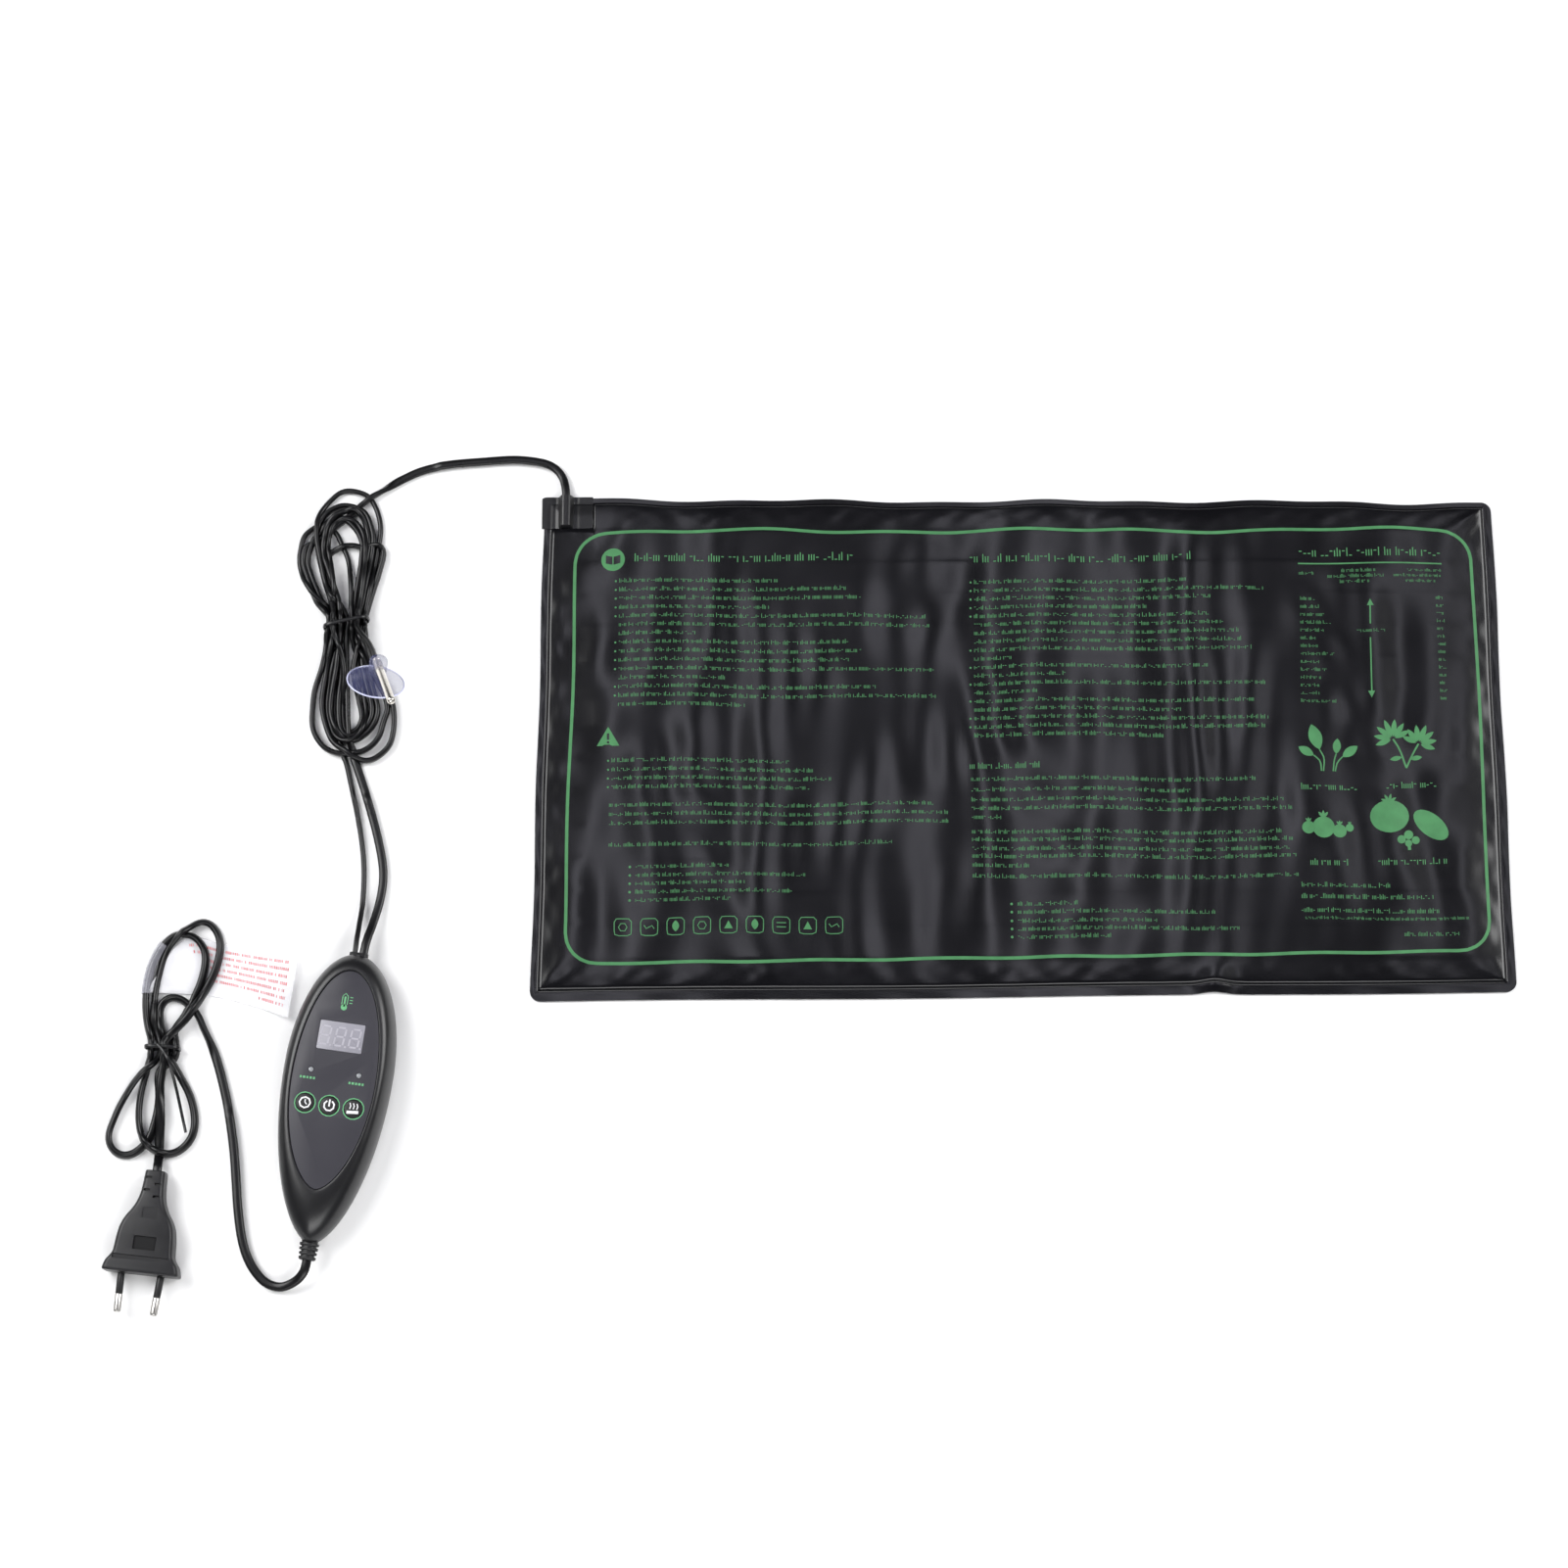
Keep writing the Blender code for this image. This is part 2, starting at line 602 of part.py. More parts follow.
def build_buttons(parts, cutters, frame):
    """Three caps with their retaining ears, each over the plunger of its own tact switch."""
    cap_black = material("button_black", (0.012, 0.012, 0.013), 0.4)
    switch_grey = material("switch_body", (0.10, 0.10, 0.10), 0.5)
    plunger_tan = material("switch_plunger", (0.30, 0.20, 0.12), 0.5)
    for name, x in BUTTONS.items():
        body = bar(f"{name}_switch_body", (x - 3 * MM, BUTTON_Y - 3 * MM, BOARD_TOP + GAP),
                   (x + 3 * MM, BUTTON_Y + 3 * MM, 16.4 * MM))
        link(body, parts, switch_grey, frame)
        well = cylinder(f"{name}_switch_well", 2.1 * MM, 14.9 * MM, 18 * MM, x, BUTTON_Y, 16)
        boolean(body, hidden_cutter(well, cutters, frame), "DIFFERENCE")

        plunger = cylinder(f"{name}_switch_plunger", 1.75 * MM, 15.7 * MM, 17.3 * MM, x, BUTTON_Y, 16)
        link(plunger, parts, plunger_tan, frame)

        profile = [(0, 22.35), (3.6, 22.3), (4.3, 22.1), (4.45, 21.7), (4.45, 18.0), (0, 18.0)]
        profile = [(r * MM, (h - 20) * MM) for r, h in profile]
        cap = turned(f"{name}_button", profile, 24)
        cap.location = (x, BUTTON_Y, 20 * MM)
        link(cap, parts, cap_black, frame)
        ears = bar(f"{name}_ears", (x - 3 * MM, BUTTON_Y - 6.4 * MM, 17.6 * MM),
                   (x + 3 * MM, BUTTON_Y + 6.4 * MM, 18.6 * MM))
        boolean(cap, hidden_cutter(ears, cutters, frame), "UNION")


def build_electronics(parts, frame):
    green = material("circuit_board", (0.03, 0.16, 0.06), 0.5)
    dark = material("component_black", (0.03, 0.03, 0.03), 0.45)
    blue = material("relay_blue", (0.04, 0.10, 0.35), 0.4)
    yellow = material("film_capacitor", (0.65, 0.45, 0.05), 0.45)
    silver = material("capacitor_can", (0.60, 0.60, 0.62), 0.3, 1.0)
    white = material("display_case", (0.62, 0.62, 0.64), 0.4)
    clear = material("indicator_lens", (0.55, 0.56, 0.56), 0.25)
    glass = material("fuse_glass", (0.70, 0.72, 0.72), 0.1)

    outline = egg(18.4 * MM, 50.5 * MM, -41.0 * MM, PANEL_WIDEST, 32)
    link(plate("circuit_board", outline, BOARD_BOTTOM, BOARD_TOP), parts, green, frame)

    above, below = BOARD_TOP + GAP, BOARD_BOTTOM - GAP
    low_y, high_y = DISPLAY_Y - 6.4 * MM, DISPLAY_Y + 6.4 * MM
    blocks = [
        ("display_module", (-10.6 * MM, low_y, above), (10.6 * MM, high_y, 20.8 * MM), white),
        ("microcontroller", (-2.0 * MM, -21 * MM, above), (2.0 * MM, -12 * MM, 15 * MM), dark),
        ("relay", (-9 * MM, -8 * MM, 3.4 * MM), (9 * MM, 4 * MM, below), blue),
        ("film_capacitor", (-8 * MM, 12 * MM, 3.6 * MM), (6 * MM, 18 * MM, below), yellow),
    ]
    for name, low, high, finish in blocks:
        link(bar(name, low, high), parts, finish, frame)

    can = cylinder("smoothing_capacitor", 3.2 * MM, 3.8 * MM, below, 0, 30 * MM)
    link(can, parts, silver, frame)
    fuse = cylinder("fuse", 1.6 * MM, -6 * MM, 6 * MM, sides=16)
    fuse.location = (0, -22 * MM, below - 1.7 * MM)
    fuse.rotation_euler.y = math.pi / 2
    link(fuse, parts, glass, frame)
    for name, x in LED_SPOTS.items():
        profile = [(0, 22.2), (0.7, 22.1), (1.2, 21.7), (1.2, above / MM), (0, above / MM)]
        led = turned(f"{name}_indicator", [(r * MM, h * MM) for r, h in profile], 16)
        led.location = (x, LED_Y, 0)
        link(led, parts, clear, frame)


def build_outlets(parts, frame):
    """The ribbed strain relief of the mains lead and the grommet of the two thin leads."""
    rubber = material("soft_black_pvc", (0.022, 0.022, 0.024), 0.5)
    profile = [(0, 0), (2.9, 0)]
    for rib in range(4):
        base = 2.0 + 2.1 * rib
        outer = 3.4 + 0.13 * rib
        waist = outer - 0.55
        profile += [(outer, base - 1.5), (outer, base - 0.4), (waist, base - 0.3), (waist, base + 0.4)]
    profile += [(3.15, 9.2), (3.15, 16.2), (4.3, 16.4), (4.3, 18.2), (2.6, 18.4), (0, 18.4)]
    relief = turned("mains_strain_relief", [(r * MM, -h * MM) for r, h in profile], 16)
    relief.location = (0, CASE_BOTTOM - 9.2 * MM, PARTING)
    relief.rotation_euler.x = math.pi / 2
    relief.scale = (1.08, 0.92, 1)
    link(relief, parts, rubber, frame)

    flat = rounded_rectangle(4.6 * MM, 2.45 * MM, 2.2 * MM, 3)
    flange = rounded_rectangle(5.9 * MM, 3.6 * MM, 2.6 * MM, 3)
    rings = []
    for ring, step in ((flange, -6.6), (flange, -5.1), (flat, -4.9), (flat, 1.2)):
        rings.append([(x, CASE_TOP + step * MM, LEAD_HEIGHT + z) for x, z in ring])
    link(loft("lead_grommet", rings), parts, rubber, frame)


# ---------------------------------------------------------------- leads, hanks and ties


def tie_ring(name, spine, top, parts, finish):
    """A twist tie's wire round the hank's waist."""
    x, y, half_width = spine[1]
    clear = GAP + TIE_WIRE
    half_x = half_width * MM + clear + 0.3 * MM
    half_z = (top - HANK_BOTTOM) / 2 + clear
    centre_z = (top + HANK_BOTTOM) / 2
    section = rounded_rectangle(half_x, half_z, 3.2 * MM, 3)
    points = [(x * MM + a, y * MM, centre_z + b) for a, b in section]
    link(tube(name, points, TIE_WIRE, closed=True), parts, finish)


def build_leads(parts):
    black = material("lead_jacket", (0.016, 0.016, 0.017), 0.42)
    tie_finish = material("tie_jacket", (0.020, 0.020, 0.022), 0.35)

    link(lead("mat_lead_upper", MAT_LEAD_TO_HANK, MAT_LEAD), parts, black)
    link(lead("mat_lead_lower", MAT_LEAD_TO_CASE, MAT_LEAD), parts, black)
    link(lead("probe_lead", PROBE_LEAD_TO_CASE, PROBE_LEAD), parts, black)
    link(lead("mains_lead", MAINS_LEAD_TO_HANK, MAINS_LEAD), parts, black)
    link(lead("mains_lead_end", MAINS_LEAD_TO_PLUG, MAINS_LEAD), parts, black)

    rounding = 3 * MM
    upper = plate("upper_hank", hank_outline(UPPER_SPINE), HANK_BOTTOM, UPPER_HANK_TOP, rounding)
    lower = plate("mains_hank", hank_outline(LOWER_SPINE), HANK_BOTTOM, LOWER_HANK_TOP, rounding)
    link(upper, parts, black)
    link(lower, parts, black)
    tie_ring("upper_tie", UPPER_SPINE, UPPER_HANK_TOP, parts, tie_finish)
    tie_ring("lower_tie", LOWER_SPINE, LOWER_HANK_TOP, parts, tie_finish)

    film = material("label_film", (0.82, 0.82, 0.84), 0.35)
    outline = [(0, -14), (31, -15), (31, 15), (0, 14)]
    tag = plate("label_tag", [(x * MM, y * MM) for x, y in outline], 0, 0.4 * MM)
    tag.location = (-388.5 * MM, -119.5 * MM, 5.0 * MM)
    tag.rotation_euler.z = math.radians(-7)
    link(tag, parts, film)


# ---------------------------------------------------------------- probe and suction cup


def axis_frame(name, origin, z_axis, y_hint, parts):
    """An empty whose +Z lies along an axis and whose +Y is nearest the hint."""
    z = z_axis.normalized()
    x = y_hint.cross(z).normalized()
    y = z.cross(x)
    frame = bpy.data.objects.new(name, None)
    parts.objects.link(frame)
    turn = Matrix((x, y, z)).transposed().to_4x4()
    frame.matrix_world = Matrix.Translation(origin) @ turn
    return frame


def build_probe(parts, cutters):
    steel = material("probe_steel", (0.62, 0.60, 0.57), 0.25, 1.0)
    clear = material("clear_pvc", (0.62, 0.66, 0.82), 0.12, alpha=0.45)
    black = material("lead_jacket", (0.016, 0.016, 0.017), 0.42)

    along = axis_frame("probe_axis", NIPPLE, PROBE_AXIS, CUP_AXIS, parts)
    crown = [math.pi / 2 * k / 4 for k in range(5)]
    nose = 1.6 * MM
    profile = [(PROBE_RADIUS * math.sin(a), PROBE_REACH - nose * (1 - math.cos(a))) for a in crown]
    profile += [(PROBE_RADIUS, -PROBE_ROOT), (0, -PROBE_ROOT)]
    probe = turned("probe_tube", profile, 20)
    link(probe, parts, steel, along)

    start = (NIPPLE - PROBE_AXIS * (PROBE_ROOT + GAP)) / MM
    link(lead("probe_lead_end", [tuple(start), *PROBE_LEAD_TO_TIE], PROBE_LEAD), parts, black)

    upright = axis_frame("cup_axis", NIPPLE, CUP_AXIS, PROBE_AXIS, parts)
    profile = [
        (0, 4.6), (2.9, 4.5), (4.2, 3.6), (4.5, 2.2), (4.5, -2.4), (3.9, -4.0), (4.4, -5.0),
        (7.4, -6.2), (11.0, -7.6), (13.4, -8.9), (14.0, -9.6), (13.7, -9.9),
        (10.6, -8.6), (6.6, -7.5), (3.0, -6.9), (0, -6.7),
    ]
    cup = turned("suction_cup", [(r * MM, h * MM) for r, h in profile], 24)
    link(cup, parts, clear, upright)
    hole = cylinder("nipple_hole", PROBE_RADIUS + GAP, -8 * MM, 8 * MM, sides=20)
    hidden_cutter(hole, cutters, along)
    boolean(cup, hole, "DIFFERENCE")


# ---------------------------------------------------------------- plug


def plug_outline():
    """The flat plug seen from above: flange, body, shoulders and neck, as its right half mirrored."""
    half = [
        (17.5, 0.0), (17.3, 4.0), (15.6, 7.3), (15.2, 10.0), (15.2, 18.0), (14.4, 22.5),
        (12.2, 26.5), (9.4, 30.0), (7.0, 33.8), (5.8, 38.0), (5.3, 43.0), (4.9, 49.3),
    ]
    right = [(x * MM, y * MM) for x, y in half]
    return right + [(-x, y) for x, y in reversed(right)]


def build_plug(parts, cutters):
    black = material("plug_black", (0.020, 0.020, 0.022), 0.5)
    sleeve_black = material("pin_sleeve_black", (0.016, 0.016, 0.017), 0.45)
    nickel = material("nickel_pin", (0.74, 0.73, 0.70), 0.22, 1.0)
    frame = bpy.data.objects.new("plug_frame", None)
    parts.objects.link(frame)
    frame.location = PLUG_BASE
    frame.rotation_euler.z = PLUG_YAW

    rounding = 1.6 * MM
    outline = plate("plug_body", plug_outline(), -PLUG_THICK / 2, PLUG_THICK / 2, rounding)
    body = as_mesh(outline, parts)
    link(body, parts, black, frame)

    for side, name in ((-1, "left"), (1, "right")):
        root = bpy.data.objects.new(f"{name}_pin_axis", None)
        parts.objects.link(root)
        root.parent = frame
        root.location = (side * PIN_SPREAD, 0, 0)
        root.rotation_euler = (math.pi / 2, 0, -side * PIN_TOE_IN)
        hole = cylinder(f"{name}_pin_hole", 1.7 * MM, -12.4 * MM, 2 * MM, sides=16)
        hidden_cutter(hole, cutters, root)
        boolean(body, hole, "DIFFERENCE")
        profile = [
            (0, 19.0), (1.1, 18.7), (1.8, 18.0), (2.0, 17.0),
            (2.0, 10.6), (1.3, 10.5), (1.3, -12.0), (0, -12.0),
        ]
        pin = turned(f"{name}_pin", [(r * MM, h * MM) for r, h in profile], 16)
        link(pin, parts, nickel, root)
        profile = [(1.6, 10.2), (2.0, 10.2), (2.0, 0.3), (1.6, 0.3), (1.6, 10.2)]
        sleeve = turned(f"{name}_pin_sleeve", [(r * MM, h * MM) for r, h in profile], 16)
        link(sleeve, parts, sleeve_black, root)


def main():
    clear_scene()
    parts = new_collection("seedling_heat_mat")
    cutters = new_collection("cutters")
    cutters.hide_render = True
    build_mat(parts)
    frame = case_frame(parts)
    build_shells(parts, cutters, frame)
    build_buttons(parts, cutters, frame)
    build_electronics(parts, frame)
    build_outlets(parts, frame)
    build_leads(parts)
    build_probe(parts, cutters)
    build_plug(parts, cutters)


main()
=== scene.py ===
"""Seedling heat mat: the looks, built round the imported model."""

import math

import bmesh
import bpy
import numpy as np
from mathutils import Matrix, Vector


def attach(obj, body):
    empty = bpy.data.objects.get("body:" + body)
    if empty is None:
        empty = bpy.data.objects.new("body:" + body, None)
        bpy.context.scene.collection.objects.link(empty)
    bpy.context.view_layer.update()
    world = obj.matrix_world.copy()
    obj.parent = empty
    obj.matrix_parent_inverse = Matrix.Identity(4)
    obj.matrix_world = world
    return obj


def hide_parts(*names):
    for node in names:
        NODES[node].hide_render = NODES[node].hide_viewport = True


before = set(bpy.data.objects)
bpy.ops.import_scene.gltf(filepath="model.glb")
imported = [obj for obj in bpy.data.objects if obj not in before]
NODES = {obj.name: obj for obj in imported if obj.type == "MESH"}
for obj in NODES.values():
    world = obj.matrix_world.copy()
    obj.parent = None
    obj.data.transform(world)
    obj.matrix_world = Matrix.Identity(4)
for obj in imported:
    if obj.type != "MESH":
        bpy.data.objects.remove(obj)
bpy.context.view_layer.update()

# Everything below is in millimetres until mesh_object turns it into metres.
MM = 0.001
BASE = "mat_and_leads"


def standing(origin, yaw):
    """The place of a frame that stands on the bench, turned about +Z."""
    return Matrix.Translation(Vector(origin) * MM) @ Matrix.Rotation(math.radians(yaw), 4, "Z")


def pointing(origin, axis, hint):
    """The place of a frame whose +Z lies along an axis and whose +Y is nearest the hint."""
    z = Vector(axis).normalized()
    x = Vector(hint).normalized().cross(z).normalized()
    return Matrix.Translation(Vector(origin) * MM) @ Matrix((x, z.cross(x), z)).transposed().to_4x4()


# Leads: width and thickness of the flat ones, diameter of the round one
MAT_LEAD = (4.2, 2.7)
MAINS_LEAD = (4.5, 2.9)
PROBE_LEAD = (2.6, 2.6)
STEP = 2.4

# Routes of the free leads, as in the CAD. The point just inside the piece that a lead goes into
# stands first, or last.
MAT_LEAD_TO_HANK = [
    (-226.2, 119.5, 3.4),
    (-226.3, 127.4, 3.4), (-226.6, 131.5, 3.2), (-228.1, 137.5, 2.3), (-232.0, 142.6, 2.2),
    (-238.8, 145.8, 2.2), (-252.0, 147.4, 2.2), (-268.0, 146.5, 2.2), (-285.0, 145.0, 2.2),
    (-298.6, 142.3, 2.4), (-308.8, 137.6, 3.4), (-314.6, 134.2, 4.6), (-317.6, 132.2, 5.4),
]
MAT_LEAD_TO_CASE = [
    (-328.6, -10.6, 5.2), (-325.0, -20.8, 3.4), (-320.8, -34.0, 2.3), (-317.0, -47.5, 2.2),
    (-314.2, -60.8, 2.2), (-313.7, -70.4, 2.2), (-315.1, -80.9, 3.0), (-317.7, -91.5, 5.2),
    (-320.0, -99.8, 8.0), (-321.3, -106.2, 9.1), (-322.1, -112.1, 9.2),
]
PROBE_LEAD_TO_CASE = [
    (-333.2, -10.4, 5.2), (-331.0, -20.0, 3.0), (-327.3, -36.0, 1.6), (-324.4, -52.0, 1.5),
    (-323.2, -66.0, 1.5), (-323.4, -80.9, 2.4), (-324.4, -92.0, 5.4), (-325.1, -99.9, 8.0),
    (-325.5, -105.5, 9.1), (-326.3, -111.4, 9.2),
]
PROBE_LEAD_TO_TIE = [
    (-317.2, 36.3, 29.2), (-318.3, 39.3, 26.4), (-319.9, 43.6, 22.0), (-322.2, 48.4, 16.8),
    (-325.4, 52.6, 13.2),
]
MAINS_LEAD_TO_HANK = [
    (-344.1, -251.2, 9.1),
    (-344.9, -257.1, 9.0), (-346.4, -261.6, 8.2), (-350.8, -265.6, 5.6), (-358.0, -267.8, 3.3),
    (-365.8, -264.9, 2.6), (-372.6, -256.4, 2.6), (-376.7, -245.6, 2.6), (-379.2, -231.2, 2.6),
    (-380.7, -216.2, 2.6), (-382.4, -200.6, 2.6), (-385.2, -184.4, 2.6), (-388.8, -169.1, 2.8),
    (-392.9, -155.8, 4.0), (-396.5, -147.6, 6.0), (-398.4, -143.8, 7.4),
]
MAINS_LEAD_TO_PLUG = [(-418.3, -206.3, 4.6), (-418.1, -208.7, 5.4), (-417.9, -211.0, 6.4),
                      (-418.6, -216.9, 6.9)]

LOWER_TIE_TAIL = [(-413.6, -160, 12.5), (-410.5, -172, 7.4), (-407.0, -187, 5.2), (-405.2, -194, 5.6)]

# The hanks' ties, and the lobes of their turns: each upper lobe runs from the left of the tie
# to its right, each lower one back. A lobe starts with the layer that it lies in.
UPPER_TIE = (-334.9, 60.7)
LOWER_TIE = (-418.3, -152.7)
MAT_TURNS = [
    (0, [(-345, 82), (-347, 92), (-346, 98), (-341, 101), (-335, 103), (-328, 102), (-322, 103),
         (-318, 102), (-317, 98), (-319, 90), (-322, 80)]),
    (1, [(-327, 40), (-322, 23), (-321, 15), (-324, 8), (-330, 3), (-335, 3), (-338, 10),
         (-338, 22), (-337, 40)]),
    (2, [(-353, 82), (-357, 92), (-357, 98), (-355, 103), (-350, 109), (-346, 115), (-340, 118),
         (-336, 116), (-331, 111), (-328, 105), (-328, 97), (-329, 82)]),
    (2, [(-326, 43), (-321, 27), (-318, 18), (-319, 11), (-323, 5), (-331, 0), (-336, 2),
         (-339, 6), (-342, 15), (-341, 25), (-339, 42)]),
    (3, [(-342, 80), (-346, 92), (-348, 100), (-347, 107), (-345, 114), (-340, 119), (-335, 121),
         (-330, 121), (-326, 115), (-324, 105), (-325, 95), (-328, 80)]),
    (3, [(-325, 51), (-318, 34), (-312, 23), (-310, 15), (-310, 6), (-312, -2), (-318, -8),
         (-323, -10), (-328, -9), (-334, -5), (-341, 1), (-344, 10), (-346, 20), (-345, 30),
         (-342, 48)]),
    (4, [(-346, 85), (-350, 97), (-351, 107), (-351, 114), (-348, 119), (-344, 122), (-338, 124),
         (-331, 122), (-327, 119), (-325, 114), (-323, 106), (-324, 97), (-326, 82)]),
    (4, [(-324, 46), (-321, 35), (-315, 25), (-313, 17), (-315, 11), (-317, 3), (-322, -3),
         (-329, -6), (-336, -6), (-343, -4), (-348, 1), (-351, 8), (-351, 18), (-350, 28),
         (-346, 40)]),
]
MAT_LAST_RISE = (1, [(-350, 73), (-355, 85), (-358, 92), (-358, 97), (-356, 102), (-351, 105),
                     (-346, 108), (-342, 112), (-336, 117), (-330, 123), (-324, 128)])
PROBE_TURNS = [
    (5, [(-352, 76), (-357, 87), (-359, 95), (-359, 102), (-358, 108), (-354, 112), (-349, 114),
         (-344, 112), (-341, 109), (-338, 102), (-335, 95), (-333, 80)]),
    (5, [(-328, 40), (-325, 24), (-323, 12), (-326, 4), (-332, 0), (-338, 3), (-343, 12),
         (-344, 24), (-341, 42)]),
    (6, [(-341, 72), (-346, 82), (-349, 95), (-351, 105), (-351, 112), (-350, 119), (-348, 123),
         (-344, 128), (-339, 132), (-333, 132), (-327, 130), (-324, 127), (-321, 121), (-319, 112),
         (-320, 102), (-322, 90), (-324, 77)]),
    (6, [(-331, 38), (-328, 22), (-326, 13), (-328, 7), (-332, 4), (-335, 6), (-336, 17),
         (-335, 38)]),
    (7, [(-341, 78), (-345, 95), (-346, 106), (-343, 114), (-337, 117), (-331, 114), (-327, 106),
         (-326, 96), (-327, 80)]),
]
# Where each pass goes through the tie, as (column, row) of a close pack
MAT_SLOTS = [(3, 0), (6, 0), (0, 0), (4, 0), (2, 1), (5, 0), (1, 1), (5, 1), (0, 1)]
PROBE_SLOTS = [(1, 0), (4, 1), (2, 0), (6, 1), (1, 2), (5, 2)]
MAINS_TURNS = [
    (1, [(-414.5, -158.0), (-408.9, -167.1), (-403.9, -176.1), (-401.1, -187.1), (-402.2, -196.1),
         (-407.6, -202.7), (-415.0, -205.0), (-422.7, -201.7), (-427.7, -194.1), (-429.1, -183.7),
         (-427.7, -171.8), (-424.4, -159.9)]),
    (1, [(-424.7, -146.3), (-427.1, -138.3), (-428.0, -127.2), (-426.6, -115.1), (-422.8, -105.0),
         (-417.3, -98.2), (-409.8, -95.3), (-403.0, -98.2), (-398.9, -105.5), (-399.5, -115.2),
         (-402.9, -125.8), (-408.2, -136.4), (-413.6, -144.1)]),
    (2, [(-419.9, -163.6), (-418.9, -177.5), (-419.9, -188.4), (-423.3, -197.4), (-429.2, -203.6),
         (-435.2, -205.4), (-441.0, -202.6), (-443.6, -196.0), (-441.6, -188.4), (-436.9, -177.5),
         (-429.7, -167.0)]),
    (3, [(-422.8, -138.3), (-423.3, -127.2), (-422.2, -118.0), (-419.4, -105.4), (-415.4, -98.7),
         (-409.8, -94.3), (-405.6, -90.9), (-400.4, -89.0), (-395.1, -92.4), (-391.9, -99.7),
         (-392.6, -108.9), (-395.6, -118.1), (-401.4, -128.7), (-406.7, -138.3)]),
]
MAINS_CREST = [(-402.1, -135.3), (-406.9, -129.9), (-413.1, -126.8), (-417.7, -127.6),
               (-420.9, -131.4), (-421.6, -136.8), (-420.1, -143.7)]
MAINS_SLOTS = [(2, 0), (0, 0), (3, 0), (1, 0), (2, 1)]

# Mat: each side of its outline as it lies, from its front or left end to its other end. MAT_X and
# MAT_Y are the spans over which the sides run, MAT_WIDE and MAT_DEEP the lengths over which the
# grid's stations are counted. HEM has the hem's widths at the left, right, bottom and back.
MAT_LEFT = (-240.8, -237.2)
MAT_RIGHT = (239.0, 239.2)
MAT_BOTTOM = (-129.7, -126.2)
MAT_BACK = (126.6, 123.8)
MAT_X = (-240, 240)
MAT_Y = (-128, 125)
MAT_WIDE = 480
MAT_DEEP = 254
MAT_CORNER = 5.0
MAT_CORNERS = ((-239, -128), (-237, 126), (239, -126), (239, 124))
SHEET = 0.4
HEM = (3.4, 4.4, 4.6, 2.6)
HEM_HEIGHT = 1.15
FIELD_HEIGHT = 3.05
HEM_STEP = 1.25
HEM_STEP_WIDTH = 1.7
# The welded corner under the entry patch stays low; the raised field starts past these lines
CORNER_RIGHT = -211.8
CORNER_FRONT = 109.9
CORNER_RISE = 0.6
WIRE_PITCH = 16.6
WIRE_FIRST = 108.0
WIRE_RUNS = 14
# Soft ripples of the top cover: centre x, half-width, height, lean, middle y and reach in y
RIPPLES = [
    (-212, 11, 0.45, 0.06, 20, 120), (-183, 10, 0.8, -0.04, 0, 90), (-158, 9, 0.6, 0.05, 40, 80),
    (-131, 10, 0.8, -0.05, -20, 120), (-101, 12, 0.5, 0.04, 30, 70), (-75, 9, 0.5, 0.03, -60, 60),
    (-50, 11, 0.8, 0.03, 60, 70), (-22, 10, 0.7, -0.03, -20, 110), (6, 12, 0.5, 0.04, 50, 80),
    (34, 10, 0.5, 0.05, -50, 80), (60, 11, 0.7, 0.04, 20, 100), (84, 9, 1.0, 0.05, 0, 150),
    (108, 10, 0.8, 0.07, 10, 140), (133, 10, 0.4, -0.05, -30, 90), (156, 11, 0.7, -0.04, -10, 130),
    (180, 12, 0.7, 0.03, 15, 120), (205, 10, 0.4, -0.03, -20, 100), (225, 8, 0.3, 0.02, 20, 70),
]
# The printed border: half-sizes and corner radius of its rectangle, and its middle in x
BORDER = (225.1, 108.9, 15.0)
BORDER_MIDDLE = 2.4
BUCKLE = (92.0, -121.0)
# The corner patch: where the lead comes in, its left, right, front and back, and its rounding
ENTRY_X = -226.3
ENTRY_BOX = (-238.4, CORNER_RIGHT - 1.0, CORNER_FRONT + 1.1, 127.7)
ENTRY_ROUND = 2.6

# Controller, in its own frame: +Y towards the two thin leads
CASE = standing((-333.6, -177.5, 0), -8.1)
CASE_EGG = (26.3, 69.8, -71.3, 12.5)
CASE_TOP = 69.8
CASE_BOTTOM = -69.8
PANEL_EGG = (20.6, 60.2, -47.0, 6.5)
CASE_WALL = 2.0
PARTING = 9.0
CASE_HEIGHT = 22.0
PANEL_FLOOR = 20.9
PANEL_FACE = 22.1
PANE_FACE = 22.06
BUTTON_Y = -6.2
BUTTONS = {"timer": -11.7, "power": 0.0, "heat": 11.7}
BUTTON_RADIUS = 4.45
LEDS = {"timer": -11.6, "heat": 11.6}
LED_Y = 10.0
DISPLAY = (21.8, 14.0)
DISPLAY_Y = 27.4
SCREWS = [(-10.5, 55.0), (10.5, 55.0), (0.0, -53.5)]

# Probe and cup
NIPPLE = (-315.2, 31.3, 32.8)
PROBE_AXIS = (0.290, -0.745, 0.600)
CUP_AXIS = (0.190, 0.660, 0.728)
PROBE = pointing(NIPPLE, PROBE_AXIS, CUP_AXIS)
CUP = pointing(NIPPLE, CUP_AXIS, PROBE_AXIS)
PROBE_RADIUS = 2.1

# Plug, in its own frame: +Y towards the cord
PLUG = standing((-423.6, -261.9, 7.0), -6.6)
PLUG_HALF = 6.8
PIN_SPREAD = 9.5
PIN_TOE_IN = 2.4


# ---------------------------------------------------------------- camera, light and floor

